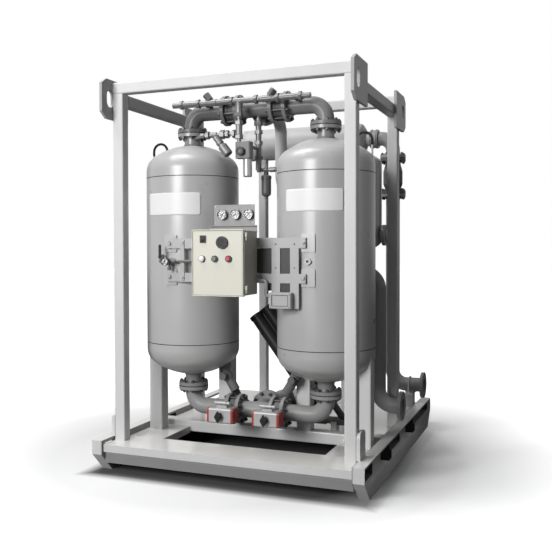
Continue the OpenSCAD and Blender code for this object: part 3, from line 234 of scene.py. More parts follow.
# Painted shadow: the floor's colour falls to a dark grey at the skid's edge.
beside = maths(ft, "MAXIMUM", *(maths(ft, "SUBTRACT", maths(ft, "ABSOLUTE", place.outputs[axis]), reach)
                                for axis, reach in SKID_HALF.items()))
painted_contact_shadow = ramp(ft, beside, 0.0, 0.10, 0.12, 0.80)
lit = add(ft, "ShaderNodeBsdfDiffuse")
ft.links.new(grey_of(ft, painted_contact_shadow), lit.inputs["Color"])
dim = add(ft, "ShaderNodeBsdfDiffuse")
dim.inputs["Color"].default_value = (0.12, 0.12, 0.12, 1.0)
pick = add(ft, "ShaderNodeMixShader")
glow = add(ft, "ShaderNodeEmission")
floor_path = add(ft, "ShaderNodeLightPath")
floor_sum = add(ft, "ShaderNodeAddShader")
floor_out = add(ft, "ShaderNodeOutputMaterial")
ft.links.new(maths(ft, "MULTIPLY", painted_glow_level, floor_path.outputs["Is Camera Ray"]), glow.inputs["Strength"])
wire(ft, (floor_path, "Is Camera Ray", pick, 0), (dim, 0, pick, 1), (lit, 0, pick, 2),
     (pick, 0, floor_sum, 0), (glow, 0, floor_sum, 1), (floor_sum, 0, floor_out, "Surface"))
floor_mesh.materials.append(floor_mat)
print("floor staged")

# %% [markdown]
# Almost everything is sprayed with the same grey family of paint. One node group holds what all the
# paints share: slow clouds of tone, faint runs down the walls, a paler tone on faces that look up and
# the orange peel of sprayed paint. The paler tone is a little dust and also a painted sheen that lightens
# the tops; on the skid and deck it is strong enough to be a painted reflection of the white room. Each
# paint places the group with its own colour and amounts.

# %% Paint group
def open_group(name, inputs, outputs):
    group = bpy.data.node_groups.new(name, "ShaderNodeTree")
    for label, kind, value in inputs:
        socket = group.interface.new_socket(name=label, in_out="INPUT", socket_type=kind)
        socket.default_value = value
    for label, kind in outputs:
        group.interface.new_socket(name=label, in_out="OUTPUT", socket_type=kind)
    return group, add(group, "NodeGroupInput"), add(group, "NodeGroupOutput")


def noise(tree, scale, detail, stretch=(1.0, 1.0, 1.0)):
    where = add(tree, "ShaderNodeTexCoord")
    turnto = add(tree, "ShaderNodeMapping")
    turnto.inputs["Scale"].default_value = stretch
    cloud = add(tree, "ShaderNodeTexNoise")
    cloud.inputs["Scale"].default_value = scale
    cloud.inputs["Detail"].default_value = detail
    wire(tree, (where, "Object", turnto, "Vector"), (turnto, "Vector", cloud, "Vector"))
    return cloud.outputs[0]


def swing(tree, value, amount):
    return maths(tree, "MULTIPLY", maths(tree, "SUBTRACT", value, 0.5), amount)


DUST_AND_SHEEN_COLOR = (0.74, 0.72, 0.68, 1.0)
paint_group, p_in, p_out = open_group(
    "sprayed_paint",
    [("Color", "NodeSocketColor", (0.5, 0.5, 0.5, 1)), ("Clouds", "NodeSocketFloat", 0.2),
     ("Runs", "NodeSocketFloat", 0.15), ("Dust", "NodeSocketFloat", 0.3),
     ("Roughness", "NodeSocketFloat", 0.4)],
    [("Color", "NodeSocketColor"), ("Roughness", "NodeSocketFloat"), ("Height", "NodeSocketFloat")])
pg = paint_group
slow = noise(pg, 2.4, 4.0)
runs = noise(pg, 9.0, 3.0, (1.0, 1.0, 0.06))
peel = noise(pg, 420.0, 2.0)
tone = swing(pg, slow, p_in.outputs["Clouds"])
streak = swing(pg, runs, p_in.outputs["Runs"])
level = maths(pg, "ADD", maths(pg, "ADD", tone, streak), 1.0)
toned = tint(pg, 1.0, p_in.outputs["Color"], grey_of(pg, level), "MULTIPLY")
facing = add(pg, "ShaderNodeNewGeometry")
parts = add(pg, "ShaderNodeSeparateXYZ")
join(pg, facing, "Normal", parts, 0)
# Faces that look up turn paler: a little dust, and a painted sheen that lightens the tops.
upward = maths(pg, "MULTIPLY", maths(pg, "MAXIMUM", parts.outputs["Z"], 0.0), slow)
dust_and_sheen = maths(pg, "MULTIPLY", upward, p_in.outputs["Dust"])
rough = maths(pg, "ADD", p_in.outputs["Roughness"], swing(pg, slow, 0.16))
pg.links.new(tint(pg, dust_and_sheen, toned, DUST_AND_SHEEN_COLOR), p_out.inputs["Color"])
pg.links.new(rough, p_out.inputs["Roughness"])
pg.links.new(peel, p_out.inputs["Height"])
print("paint group with", len(paint_group.nodes), "nodes")

# %% [markdown]
# Bare steel is not painted: rolling and brushing leave fine lines in one direction. The second group
# stretches a noise a hundred times along one axis and gives out a tone, a roughness and a height.

# %% Brushed metal group
metal_group, m_in, m_out = open_group(
    "brushed_lines",
    [("Color", "NodeSocketColor", (0.6, 0.6, 0.6, 1)), ("Lines", "NodeSocketFloat", 0.25),
     ("Roughness", "NodeSocketFloat", 0.35)],
    [("Color", "NodeSocketColor"), ("Roughness", "NodeSocketFloat"), ("Height", "NodeSocketFloat")])
mg = metal_group
lines = noise(mg, 6.0, 4.0, (1.0, 30.0, 90.0))
smear = noise(mg, 11.0, 3.0)
mixed = maths(mg, "ADD", maths(mg, "MULTIPLY", lines, 0.6), maths(mg, "MULTIPLY", smear, 0.4))
shade = grey_of(mg, maths(mg, "ADD", swing(mg, mixed, m_in.outputs["Lines"]), 1.0))
rough = maths(mg, "ADD", m_in.outputs["Roughness"], swing(mg, mixed, 0.2))
mg.links.new(tint(mg, 1.0, m_in.outputs["Color"], shade, "MULTIPLY"), m_out.inputs["Color"])
mg.links.new(rough, m_out.inputs["Roughness"])
mg.links.new(lines, m_out.inputs["Height"])
print("metal group with", len(metal_group.nodes), "nodes")

# %% [markdown]
# Every finish is one of the two groups in front of a Principled shader. Values that are the same all
# over, such as how metallic a finish is, are set on the shader itself. A second helper darkens a finish
# by its place, along one axis or by the distance from a middle; on the sill, the rails and the top
# header, that darkening is painted shade.

# %% Finish helpers
finishes = {}


def finish(name, group, color, rough_value, bump=0.02, metallic=0.0, coat=0.0, spec=0.24, **amounts):
    mat = finishes[name] = bpy.data.materials.new(name)
    tree = new_nodes(mat)
    surface = add(tree, "ShaderNodeGroup")
    surface.node_tree = group
    rgb = color if isinstance(color, tuple) else (color, color, color)
    surface.inputs["Color"].default_value = (*rgb, 1.0)
    surface.inputs["Roughness"].default_value = rough_value
    for label, value in amounts.items():
        surface.inputs[label].default_value = value
    shader = add(tree, "ShaderNodeBsdfPrincipled")
    shader.inputs["Metallic"].default_value = metallic
    shader.inputs["Coat Weight"].default_value = coat
    shader.inputs["Specular IOR Level"].default_value = 0.5 if metallic else spec
    lift = add(tree, "ShaderNodeBump")
    lift.inputs["Strength"].default_value = bump
    lift.inputs["Distance"].default_value = 0.002
    out = add(tree, "ShaderNodeOutputMaterial")
    wire(tree, (surface, "Color", shader, "Base Color"), (surface, "Roughness", shader, "Roughness"),
         (surface, "Height", lift, "Height"), (lift, "Normal", shader, "Normal"), (shader, 0, out, "Surface"))


def shaded(name, axis, low, high, at_low, at_high, middle=None):
    tree = finishes[name].node_tree
    base = next(n for n in tree.nodes if n.type == "BSDF_PRINCIPLED").inputs["Base Color"]
    plain_color = base.links[0].from_socket
    where = add(tree, "ShaderNodeTexCoord")
    axes = add(tree, "ShaderNodeSeparateXYZ")
    join(tree, where, "Object", axes, 0)
    along = axes.outputs[axis]
    if middle is not None:
        along = maths(tree, "ABSOLUTE", maths(tree, "SUBTRACT", along, middle))
    amount = grey_of(tree, ramp(tree, along, low, high, at_low, at_high))
    tree.links.new(tint(tree, 1.0, plain_color, amount, "MULTIPLY"), base)


print("finish helpers ready")

# %% [markdown]
# The paints and metals of the machine, with their colour, their roughness and the amounts for the group.
# One number for a colour means a grey. The tower necks are darker than the rest of the towers. Some
# finishes are lit or shaded copies of one paint: the lugs, the side rails, the blowdown line and the top
# header are darker as painted shade, and the tower legs are lighter as painted light. The sill's web
# below its lip, the inner faces of the rails and the left end of the top header are darkened as painted
# shade, and the tops of the skid and deck carry a painted sheen.

# %% Finishes
P, M = paint_group, metal_group
finish("frame_paint", P, 0.585, 0.45, Clouds=0.16, Runs=0.10, Dust=0.5)
finish("tower_paint", P, 0.41, 0.30, spec=0.55, Clouds=0.10, Runs=0.06, Dust=0.15)
finish("pipe_paint", P, 0.27, 0.36, Clouds=0.2, Runs=0.1, Dust=0.3)
finish("valve_iron", P, (0.10, 0.10, 0.105), 0.5, 0.06, Clouds=0.4, Runs=0.1, Dust=0.3)
finish("bright_steel", M, 0.20, 0.42, metallic=0.6, Lines=0.4)
finish("drive_alloy", M, 0.40, 0.42, metallic=0.25, Lines=0.2)
finish("cap_red", P, (0.35, 0.048, 0.04), 0.34, Clouds=0.3, Dust=0.2)
finish("knob_black", P, 0.012, 0.5, 0.05, Clouds=0.4, Dust=0.1)
finish("gasket_rubber", P, 0.018, 0.75, 0.05, Clouds=0.4, Dust=0.1)
finish("bed_granules", P, (0.8, 0.8, 0.77), 0.8, 0.3, Clouds=0.3, Dust=0.0)
finish("muffler_black", P, 0.016, 0.42, Clouds=0.5, Dust=0.05)
finish("box_grey", P, (0.36, 0.35, 0.305), 0.4, Clouds=0.15, Dust=0.3)
finish("door_cream", P, (0.625, 0.615, 0.535), 0.42, Clouds=0.06, Runs=0.03, Dust=0.2)
finish("fitting_dark", P, 0.065, 0.5, 0.05, Clouds=0.3, Dust=0.1)
finish("lamp_white", P, (0.85, 0.85, 0.83), 0.2, 0.0, coat=0.3, Clouds=0.05, Dust=0.0)
finish("button_green", P, (0.16, 0.20, 0.16), 0.35, 0.01, Clouds=0.2, Dust=0.05)
finish("button_red", P, (0.55, 0.07, 0.09), 0.35, 0.01, Clouds=0.2, Dust=0.05)
finish("bracket_steel", P, 0.42, 0.40, Clouds=0.2, Runs=0.1, Dust=0.2)
finish("gauge_white", M, 0.30, 0.30, metallic=0.5, Lines=0.1)
finish("dial_white", P, (0.62, 0.62, 0.61), 0.5, 0.004, Clouds=0.05, Runs=0.02, Dust=0.0)
# Painted shade: the darker colour of the door's groove line.
finish("rim_shade", P, (0.30, 0.29, 0.24), 0.5, 0.02, Clouds=0.1, Dust=0.1)
finish("panel_grey", P, 0.28, 0.42, Clouds=0.15, Runs=0.1, Dust=0.2)
finish("needle_black", P, 0.02, 0.5, Clouds=0.3, Dust=0.0)
# Painted shade: the blowdown line is a darker copy of the pipe paint.
finish("blowdown_shaded_grey", P, 0.13, 0.42, 0.04, Clouds=0.3, Runs=0.1, Dust=0.2)
finish("purge_metal", M, 0.20, 0.36, metallic=0.25, Lines=0.2)
finish("bowl_metal", M, 0.42, 0.30, metallic=0.5, Lines=0.15)
finish("union_metal", M, 0.20, 0.40, metallic=0.3, Lines=0.25)
finish("label_white", P, 0.74, 0.35, 0.004, Clouds=0.04, Runs=0.02, Dust=0.1)
# Painted sheen and shade: bright patches on the sill's top, and its web darkened below the lip.
finish("skid_sheen_and_shade_paint", P, 0.60, 0.17, spec=0.6, Clouds=0.22, Runs=0.12, Dust=1.2)
# Painted sheen: bright patches on the tops of the deck and middle beam.
finish("deck_sheen_paint", P, 0.60, 0.18, spec=0.6, Clouds=0.25, Runs=0.1, Dust=1.0)
# Painted shade: the rails' inner faces are darkened.
finish("rail_shaded_paint", P, 0.585, 0.30, spec=0.4, Clouds=0.2, Runs=0.1, Dust=0.8)
# Painted shade: the lugs and the side rails are darker copies of the frame paint.
finish("lug_shaded_paint", P, 0.34, 0.42, Clouds=0.16, Runs=0.1, Dust=0.3)
finish("side_rail_shaded_paint", P, 0.40, 0.42, Clouds=0.16, Runs=0.1, Dust=0.6)
# Painted shade: the top header is a darker copy of the pipe paint.
finish("header_shaded_grey", P, 0.19, 0.34, Clouds=0.2, Runs=0.1, Dust=0.4)
finish("filter_pale", P, 0.50, 0.36, Clouds=0.15, Runs=0.1, Dust=0.2)
# Painted light: the tower legs are a lighter copy of the tower paint.
finish("leg_lit_paint", P, 0.60, 0.36, Clouds=0.12, Runs=0.1, Dust=0.2)
finish("regulator_grey", P, (0.17, 0.17, 0.175), 0.42, 0.04, Clouds=0.25, Dust=0.2)
finish("stud_dark", M, 0.07, 0.42, metallic=0.4, Lines=0.3)
finish("case_dark", M, 0.13, 0.30, metallic=0.5, Lines=0.1)
# Painted shade: a near black for the plates behind the bars and the right bracket.
finish("plate_painted_shade", P, 0.045, 0.42, Clouds=0.2, Runs=0.1, Dust=0.2)
finish("bowl_dark", P, 0.10, 0.34, 0.03, Clouds=0.25, Dust=0.2)
# Painted shade: near black for the window linings in the rails.
finish("window_painted_shade", P, 0.012, 0.7, 0.05, Clouds=0.4, Dust=0.1)
shaded("tower_paint", "Z", 0.812, 0.820, 1.0, 0.55, middle=1.4146)
# Painted shade: the sill's web below its lip.
shaded("skid_sheen_and_shade_paint", "Z", 0.125, 0.146, 0.42, 1.0)
# Painted shade: the inner faces of the rails.
shaded("rail_shaded_paint", "X", 0.856, 0.862, 0.38, 1.0, middle=0.0)
# Painted shade: the left end of the top header.
shaded("header_shaded_grey", "X", -0.45, 0.05, 0.62, 1.0)
print(len(finishes), "paints and metals")

# %% [markdown]
# The windows of the gauges are thin clear plastic. A faint smudge in the roughness keeps them from
# looking like nothing at all.

# %% Glass
glass = finishes["clear_glass"] = bpy.data.materials.new("clear_glass")
gt = new_nodes(glass)
pane = add(gt, "ShaderNodeBsdfPrincipled")
pane.inputs["Base Color"].default_value = (0.97, 0.98, 0.98, 1)
pane.inputs["Transmission Weight"].default_value = 1.0
pane.inputs["IOR"].default_value = 1.12
gt.links.new(ramp(gt, noise(gt, 60.0, 3.0), 0.0, 1.0, 0.02, 0.12), pane.inputs["Roughness"])
join(gt, pane, 0, add(gt, "ShaderNodeOutputMaterial"), "Surface")
print("clear glass")

# %% [markdown]
# A node of the CAD model names its material slot. Most nodes take the finish of that name; some have a
# finish of their own, because the photograph shows them lighter or darker than their neighbours.

# %% Painting the nodes
own_finish = {
    "blowdown_line": "blowdown_shaded_grey", "purge_line": "purge_metal", "gauge_panel": "panel_grey",
    "skid_front_beam": "skid_sheen_and_shade_paint", "deck_plates": "deck_sheen_paint", "skid_middle_beam": "deck_sheen_paint",
    "skid_left_rail": "rail_shaded_paint", "skid_right_rail": "rail_shaded_paint", "side_top_rails": "side_rail_shaded_paint",
    "lifting_lugs": "lug_shaded_paint", "tower_legs": "leg_lit_paint", "top_elbows": "header_shaded_grey",
    "top_tee": "header_shaded_grey", "after_filter": "filter_pale", "outlet_crossover": "filter_pale",
    "purge_regulator": "regulator_grey", "gauge_valve": "regulator_grey", "gauge_cases": "case_dark",
    "flange_studs": "stud_dark"}
slot_of = {s["node"]: s["material_slot"] for s in frame["record"]["subparts"]}
for name, obj in nodes.items():
    mat = finishes[own_finish.get(name, slot_of[name])]
    if not obj.material_slots:
        obj.data.materials.append(mat)
    for ms in obj.material_slots:
        ms.material = mat
print("painted", len(nodes), "nodes with", len(finishes), "finishes")

# %% [markdown]
# Pieces that Blender adds are plain meshes with their place in the mesh. The helpers turn lists of
# corners into an object, give it a finish and let it ride on the body that carries it. Most shapes here
# are rings of corners, so one helper lists the faces between two rings of the same size.

# %% Piece helpers
def place_piece(name, mesh, body, smooth):
    for f in mesh.polygons:
        f.use_smooth = smooth
    obj = bpy.data.objects.new(name, mesh)
    scene.collection.objects.link(obj)
    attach(obj, body)


def piece(name, verts, faces, mat, body, smooth=False):
    mesh = bpy.data.meshes.new(name)
    mesh.from_pydata([tuple(v) for v in verts], [], faces)
    bm = bmesh.new()
    bm.from_mesh(mesh)
    bmesh.ops.remove_doubles(bm, verts=bm.verts, dist=1e-6)
    bmesh.ops.recalc_face_normals(bm, faces=bm.faces)
    bm.to_mesh(mesh)
    bm.free()
    mesh.materials.append(finishes[mat])
    place_piece(name, mesh, body, smooth)


def strip(size, a, b):
    return [(a * size + i, a * size + (i + 1) % size, b * size + (i + 1) % size, b * size + i)
            for i in range(size)]


print("piece helpers ready")

# %% [markdown]
# A printed vinyl label follows the wall of each tower. It is bent from a flat grid on the tower's own
# cylinder, less than half a millimetre thick, with rounded corners. It stays blank.

# %% Blank labels
def bent_label(name, tower_x, x0, x1, z0, z1, corner=0.012, cols=40, rows=16):
    a0 = math.asin((x0 - tower_x) / TOWER_R)
    a1 = math.asin((x1 - tower_x) / TOWER_R)
    verts, faces = [], []
    for layer in (0.0004, 0.0008):
        for j in range(rows + 1):
            z = z0 + (z1 - z0) * j / rows
            edge = min(z - z0, z1 - z)
            pull = corner - math.sqrt(max(corner ** 2 - (corner - min(edge, corner)) ** 2, 0.0))
            for i in range(cols + 1):
                b0, b1 = a0 + pull / TOWER_R, a1 - pull / TOWER_R
                a = b0 + (b1 - b0) * i / cols
                r = TOWER_R + layer
                verts.append((tower_x + r * math.sin(a), TOWER_Y - r * math.cos(a), z))
    n = cols + 1
    sheet = n * (rows + 1)
    for j in range(rows):
        for i in range(cols):
            a = j * n + i
            faces.append((a, a + 1, a + n + 1, a + n))
            faces.append((sheet + a, sheet + a + n, sheet + a + n + 1, sheet + a + 1))
    rim = list(range(n)) + [j * n + cols for j in range(1, rows + 1)]
    rim += [rows * n + i for i in range(cols - 1, -1, -1)] + [j * n for j in range(rows - 1, 0, -1)]
    for a, b in zip(rim, rim[1:] + rim[:1]):
        faces.append((a, a + sheet, b + sheet, b))
    piece(name, verts, faces, "label_white", ROOT, smooth=True)


bent_label("left_tower_label", -TOWER_X, -0.711, -0.304, 1.724, 1.877)
bent_label("right_tower_label", TOWER_X, 0.313, 0.699, 1.731, 1.875)
print("two blank labels")

# %% [markdown]
# Screws, nuts, ticks and slots repeat, so Geometry Nodes make them. The helper below builds a tree with
# named inputs. A second helper bakes it: the object is evaluated once, its result becomes a plain mesh,
# and the mesh is put in its place before the piece rides on a body.

# %% Geometry Nodes helpers
def node_tree(name, inputs, takes_points=False):
    tree = bpy.data.node_groups.new(name, "GeometryNodeTree")
    if takes_points:
        tree.interface.new_socket(name="Points", in_out="INPUT", socket_type="NodeSocketGeometry")
    tree.interface.new_socket(name="Geometry", in_out="OUTPUT", socket_type="NodeSocketGeometry")
    ids = {}
    for label, kind, value in inputs:
        socket = tree.interface.new_socket(name=label, in_out="INPUT", socket_type="NodeSocket" + kind)
        if value is not None:
            socket.default_value = value
        ids[label] = socket.identifier
    return tree, ids, add(tree, "NodeGroupInput"), add(tree, "NodeGroupOutput")


def end_tree(tree, source, given, out):
    real = add(tree, "GeometryNodeRealizeInstances")
    paint = add(tree, "GeometryNodeSetMaterial")
    wire(tree, (source, 0, real, "Geometry"), (real, "Geometry", paint, "Geometry"),
         (given, "Material", paint, "Material"), (paint, "Geometry", out, "Geometry"))


def grown(tree_ids, values, mat, points=()):
    tree, ids = tree_ids
    seed_mesh = bpy.data.meshes.new("seed")
    seed_mesh.from_pydata([tuple(v) for v in points], [], [])
    seed = bpy.data.objects.new("seed", seed_mesh)
    scene.collection.objects.link(seed)
    grower = seed.modifiers.new("grow", "NODES")
    grower.node_group = tree
    for label, value in values.items():
        grower[ids[label]] = value
    grower[ids["Material"]] = finishes[mat]
    ready = seed.evaluated_get(bpy.context.evaluated_depsgraph_get())
    mesh = bpy.data.meshes.new_from_object(ready)
    bpy.data.objects.remove(seed)
    return mesh


def gather(name, meshes, body, smooth=False):
    bm = bmesh.new()
    for mesh, place in meshes:
        mesh.transform(place)
        bm.from_mesh(mesh)
    whole = bpy.data.meshes.new(name)
    bmesh.ops.recalc_face_normals(bm, faces=bm.faces)
    bm.to_mesh(whole)
    bm.free()
    whole.materials.append(next(m for m in meshes[0][0].materials if m))
    for f in whole.polygons:
        f.material_index = 0
    place_piece(name, whole, body, smooth)


print("geometry helpers ready")

# %% [markdown]
# A hexagon head screw is a six-sided prism on a round washer. The tree puts one on every point it gets,
# turned the way the screw looks. Union nuts are the same tree with six or eight sides, and their washer
# is hidden inside the nut.

# %% Screw tree
screw_tree, screw_ids, g_in, g_out = node_tree("screw_heads", [
    ("Sides", "Int", 6), ("Head radius", "Float", 0.006), ("Head height", "Float", 0.005),
    ("Washer radius", "Float", 0.009), ("Washer height", "Float", 0.0015), ("Turn", "Vector", (0.0, 0.0, 0.0)),
    ("Material", "Material", None)], takes_points=True)
head = add(screw_tree, "GeometryNodeMeshCylinder")
washer = add(screw_tree, "GeometryNodeMeshCylinder")
washer.inputs["Vertices"].default_value = 20
lift_head = add(screw_tree, "GeometryNodeTransform")
pair = add(screw_tree, "GeometryNodeJoinGeometry")
spread = add(screw_tree, "GeometryNodeInstanceOnPoints")
raise_by = add(screw_tree, "ShaderNodeCombineXYZ")
raise_by_half = maths(screw_tree, "MULTIPLY", g_in.outputs["Head height"], 0.5)
screw_tree.links.new(raise_by_half, raise_by.inputs["Z"])
wire(screw_tree, (g_in, "Sides", head, "Vertices"), (g_in, "Head radius", head, "Radius"),
     (g_in, "Head height", head, "Depth"), (g_in, "Washer radius", washer, "Radius"),
     (g_in, "Washer height", washer, "Depth"), (head, "Mesh", lift_head, "Geometry"),
     (raise_by, 0, lift_head, "Translation"), (lift_head, "Geometry", pair, 0), (washer, "Mesh", pair, 0),
     (g_in, "Points", spread, "Points"), (pair, 0, spread, "Instance"), (g_in, "Turn", spread, "Rotation"))
end_tree(screw_tree, spread, g_in, g_out)
SCREWS = (screw_tree, screw_ids)
TO_FRONT = (math.pi / 2, 0.0, 0.0)
TO_RIGHT = (0.0, math.pi / 2, 0.0)
TO_LEFT = (0.0, -math.pi / 2, 0.0)
UPRIGHT = (0.0, 0.0, 0.0)


def screws(points, turn, mat, radius, height, sides=6, washer_r=None):
    values = {"Sides": sides, "Head radius": radius, "Head height": height, "Turn": turn,
              "Washer radius": radius * 1.5 if washer_r is None else washer_r,
              "Washer height": min(height * 0.3, 0.002)}
    return grown(SCREWS, values, mat, points), Matrix.Identity(4)


print("screw tree with", len(screw_tree.nodes), "nodes")

# %% [markdown]
# Where screws sit: on the end caps of the two valve drives, at the corners of the gauge panel, on the
# cover of the junction box and where the bracket bars meet the tower pads.

# %% Screws
DRIVE_Y, DRIVE_Z, DRIVE_HALF, SCREW_OFF = -0.708, 0.364, 0.095, 0.038
cap_screws = []
for drive_x in (-DRIVE_X, DRIVE_X):
    for side, turn in ((-1, TO_LEFT), (1, TO_RIGHT)):
        spots = [(drive_x + side * DRIVE_HALF, DRIVE_Y + dy, DRIVE_Z + dz)
                 for dy in (-SCREW_OFF, SCREW_OFF) for dz in (-SCREW_OFF, SCREW_OFF)]
        cap_screws.append(screws(spots, turn, "bright_steel", 0.0055, 0.005))
gather("drive_cap_screws", cap_screws, ROOT)
panel_spots = [(x, -0.840, z) for x in (-0.150, 0.118) for z in (1.662, 1.772)]
bar_spots = [(x, -0.836, z) for x in (-0.497, 0.457) for z in (1.3025, 1.5305)]
box_spots = [(x, -0.885, z) for x in (0.254, 0.380) for z in (1.122, 1.205)]
gather("panel_screws", [
    screws(panel_spots, TO_FRONT, "bright_steel", 0.0045, 0.0035),
    screws(bar_spots, TO_FRONT, "bright_steel", 0.011, 0.008),
    screws(box_spots, TO_FRONT, "bright_steel", 0.0035, 0.0025)], ROOT)
print("screws on drives, panel, bars and box")

# %% [markdown]
# The threaded unions of the purge line are turned in CAD. Real ones have flats for a wrench, so a collar
# with eight or six flats is put round each union, coupling and branch nut, a little larger than the
# turned one. A row below holds the places, the direction, the radius, the height and the flats.

# %% Union nuts
PURGE_Y, PURGE_Z, BRANCH_Z = -0.640, 2.498, 2.276
DROP_X, SPOOL_X = -0.066, 0.012
NUT_WASHER = 0.020
nut_rows = [
    ([(x - 0.010, PURGE_Y, PURGE_Z) for x in (-0.500, -0.370, -0.120, 0.060, 0.215, 0.375)],
     TO_RIGHT, 0.0315, 0.020, 8),
    ([(DROP_X, PURGE_Y, PURGE_Z - 0.107), (SPOOL_X, TOWER_Y, 2.350)], UPRIGHT, 0.0335, 0.024, 8),
    ([(DROP_X, PURGE_Y, z) for z in (2.336, 2.240)] + [(SPOOL_X, TOWER_Y, z) for z in (2.290, 2.216, 2.112)],
     UPRIGHT, 0.0310, 0.024, 6),
    ([(x, PURGE_Y, BRANCH_Z) for x in (-0.311, -0.163)], TO_RIGHT, 0.0280, 0.022, 6),
    ([(-0.203, PURGE_Y, BRANCH_Z)], TO_RIGHT, 0.0320, 0.030, 6),
    ([(-0.112, PURGE_Y, BRANCH_Z)], TO_RIGHT, 0.0290, 0.018, 6)]
gather("union_flats", [screws(spots, turn, "union_metal", radius, height, flats, NUT_WASHER)
                       for spots, turn, radius, height, flats in nut_rows], ROOT)
print(sum(len(row[0]) for row in nut_rows), "union nuts")

# %% [markdown]
# A dial has fine ticks and longer ones every fifth. The tree places thin bars along an arc of points
# whose angle follows their index, and stretches every fifth bar.

# %% Dial tree
tick_tree, tick_ids, t_in, t_out = node_tree("dial_ticks", [
    ("Count", "Int", 41), ("Sweep", "Float", 4.712), ("Radius", "Float", 0.026), ("Length", "Float", 0.003),
    ("Width", "Float", 0.0006), ("Every", "Int", 5), ("Material", "Material", None)])
tt = tick_tree
dots = add(tt, "GeometryNodePoints")
number = add(tt, "GeometryNodeInputIndex").outputs[0]
sweep, radius = t_in.outputs["Sweep"], t_in.outputs["Radius"]
share = maths(tt, "DIVIDE", number, maths(tt, "SUBTRACT", t_in.outputs["Count"], 1.0))
angle = maths(tt, "SUBTRACT", maths(tt, "MULTIPLY", share, sweep), maths(tt, "MULTIPLY", sweep, 0.5))
is_long = maths(tt, "LESS_THAN", maths(tt, "MODULO", number, t_in.outputs["Every"]), 0.5)
spot_at = triple(tt, maths(tt, "MULTIPLY", maths(tt, "SINE", angle), radius),
                 maths(tt, "MULTIPLY", maths(tt, "COSINE", angle), radius), 0.0)
twist = triple(tt, 0.0, 0.0, maths(tt, "MULTIPLY", angle, -1.0))
longer = triple(tt, maths(tt, "ADD", maths(tt, "MULTIPLY", is_long, 0.7), 1.0),
                maths(tt, "ADD", maths(tt, "MULTIPLY", is_long, 0.9), 1.0), 1.0)
bar = add(tt, "GeometryNodeMeshCube")
on_arc = add(tt, "GeometryNodeInstanceOnPoints")
bar_size = triple(tt, t_in.outputs["Width"], t_in.outputs["Length"], 0.0004)
for socket, value in ((dots.inputs["Position"], spot_at), (on_arc.inputs["Rotation"], twist),
                      (on_arc.inputs["Scale"], longer), (bar.inputs["Size"], bar_size)):
    tt.links.new(value, socket)
wire(tt, (t_in, "Count", dots, "Count"), (dots, 0, on_arc, "Points"), (bar, "Mesh", on_arc, "Instance"))
end_tree(tt, on_arc, t_in, t_out)
TICKS = (tick_tree, tick_ids)
print("dial tree with", len(tick_tree.nodes), "nodes")

# %% [markdown]
# Each gauge has a white printed dial: a thin disc just in front of the case's floor, ticks over three
# quarters of a turn and plain numbers. The numbers are Blender text, turned into a mesh before it is placed.

# %% Dials
FACE_FRONT = Matrix.Rotation(math.pi / 2, 4, "X")
gauges = [(-0.095, -0.858, 1.718, 0.0300), (-0.002, -0.858, 1.718, 0.0300), (0.091, -0.858, 1.718, 0.0300),
          (-0.505, -0.892, 1.412, 0.0250)]
LAYER = 0.0004


def words(text, size):
    curve = bpy.data.curves.new("number", "FONT")
    curve.body = text
    curve.size = size
    curve.extrude = 0.0001
    curve.align_x, curve.align_y = "CENTER", "CENTER"
    holder = bpy.data.objects.new("number", curve)
    scene.collection.objects.link(holder)
    mesh = bpy.data.meshes.new_from_object(holder.evaluated_get(bpy.context.evaluated_depsgraph_get()))
    bpy.data.objects.remove(holder)
    return mesh


def dial_disc(radius):
    bm = bmesh.new()
    bmesh.ops.create_circle(bm, cap_ends=True, radius=radius, segments=64)
    made = bmesh.ops.extrude_face_region(bm, geom=list(bm.faces))
    raised = [v for v in made["geom"] if isinstance(v, bmesh.types.BMVert)]
    bmesh.ops.translate(bm, vec=(0, 0, LAYER), verts=raised)
    mesh = bpy.data.meshes.new("disc")
    bm.to_mesh(mesh)
    bm.free()
    mesh.materials.append(finishes["dial_white"])
    return mesh


discs, marks = [], []
for gx, gy, gz, gr in gauges:
    place = Matrix.Translation((gx, gy, gz)) @ FACE_FRONT
    discs.append((dial_disc(gr), place))
    marks.append((grown(TICKS, {"Radius": gr * 0.86, "Length": gr * 0.09, "Width": gr * 0.022, "Count": 41,
                                "Every": 5, "Sweep": math.radians(270)}, "needle_black"),
                  place @ Matrix.Translation((0, 0, LAYER + 0.0001))))
    for i, text in enumerate(("0", "4", "8", "12", "16")):
        a = math.radians(-135 + 67.5 * i)
        marks.append((words(text, gr * 0.24), place @ Matrix.Translation(
            (gr * 0.62 * math.sin(a), gr * 0.62 * math.cos(a), LAYER + 0.0001))))
gather("dial_discs", discs, ROOT)
gather("dial_marks", marks, ROOT)
print(len(gauges), "dials")

# %% [markdown]
# A weld bead is a row of small overlapping scales along a seam. The tree walks along a circle and sets
# a flattened ball at each step. Beads join the necks of the towers to their heads.

# %% Weld tree
weld_tree, weld_ids, w_in, w_out = node_tree("weld_bead", [
    ("Radius", "Float", 0.06), ("Count", "Int", 60), ("Bead", "Float", 0.005), ("Material", "Material", None)])
path_ring = add(weld_tree, "GeometryNodeCurvePrimitiveCircle")
walk = add(weld_tree, "GeometryNodeCurveToPoints")
scale_ball = add(weld_tree, "GeometryNodeMeshIcoSphere")
scale_ball.inputs["Subdivisions"].default_value = 2
drop_at = add(weld_tree, "GeometryNodeInstanceOnPoints")
drop_at.inputs["Scale"].default_value = (1.0, 0.9, 0.9)
wire(weld_tree, (w_in, "Radius", path_ring, "Radius"), (w_in, "Count", walk, "Count"),
     (w_in, "Bead", scale_ball, "Radius"), (path_ring, "Curve", walk, "Curve"),
     (walk, "Points", drop_at, "Points"), (scale_ball, "Mesh", drop_at, "Instance"),
     (walk, "Rotation", drop_at, "Rotation"))
end_tree(weld_tree, drop_at, w_in, w_out)
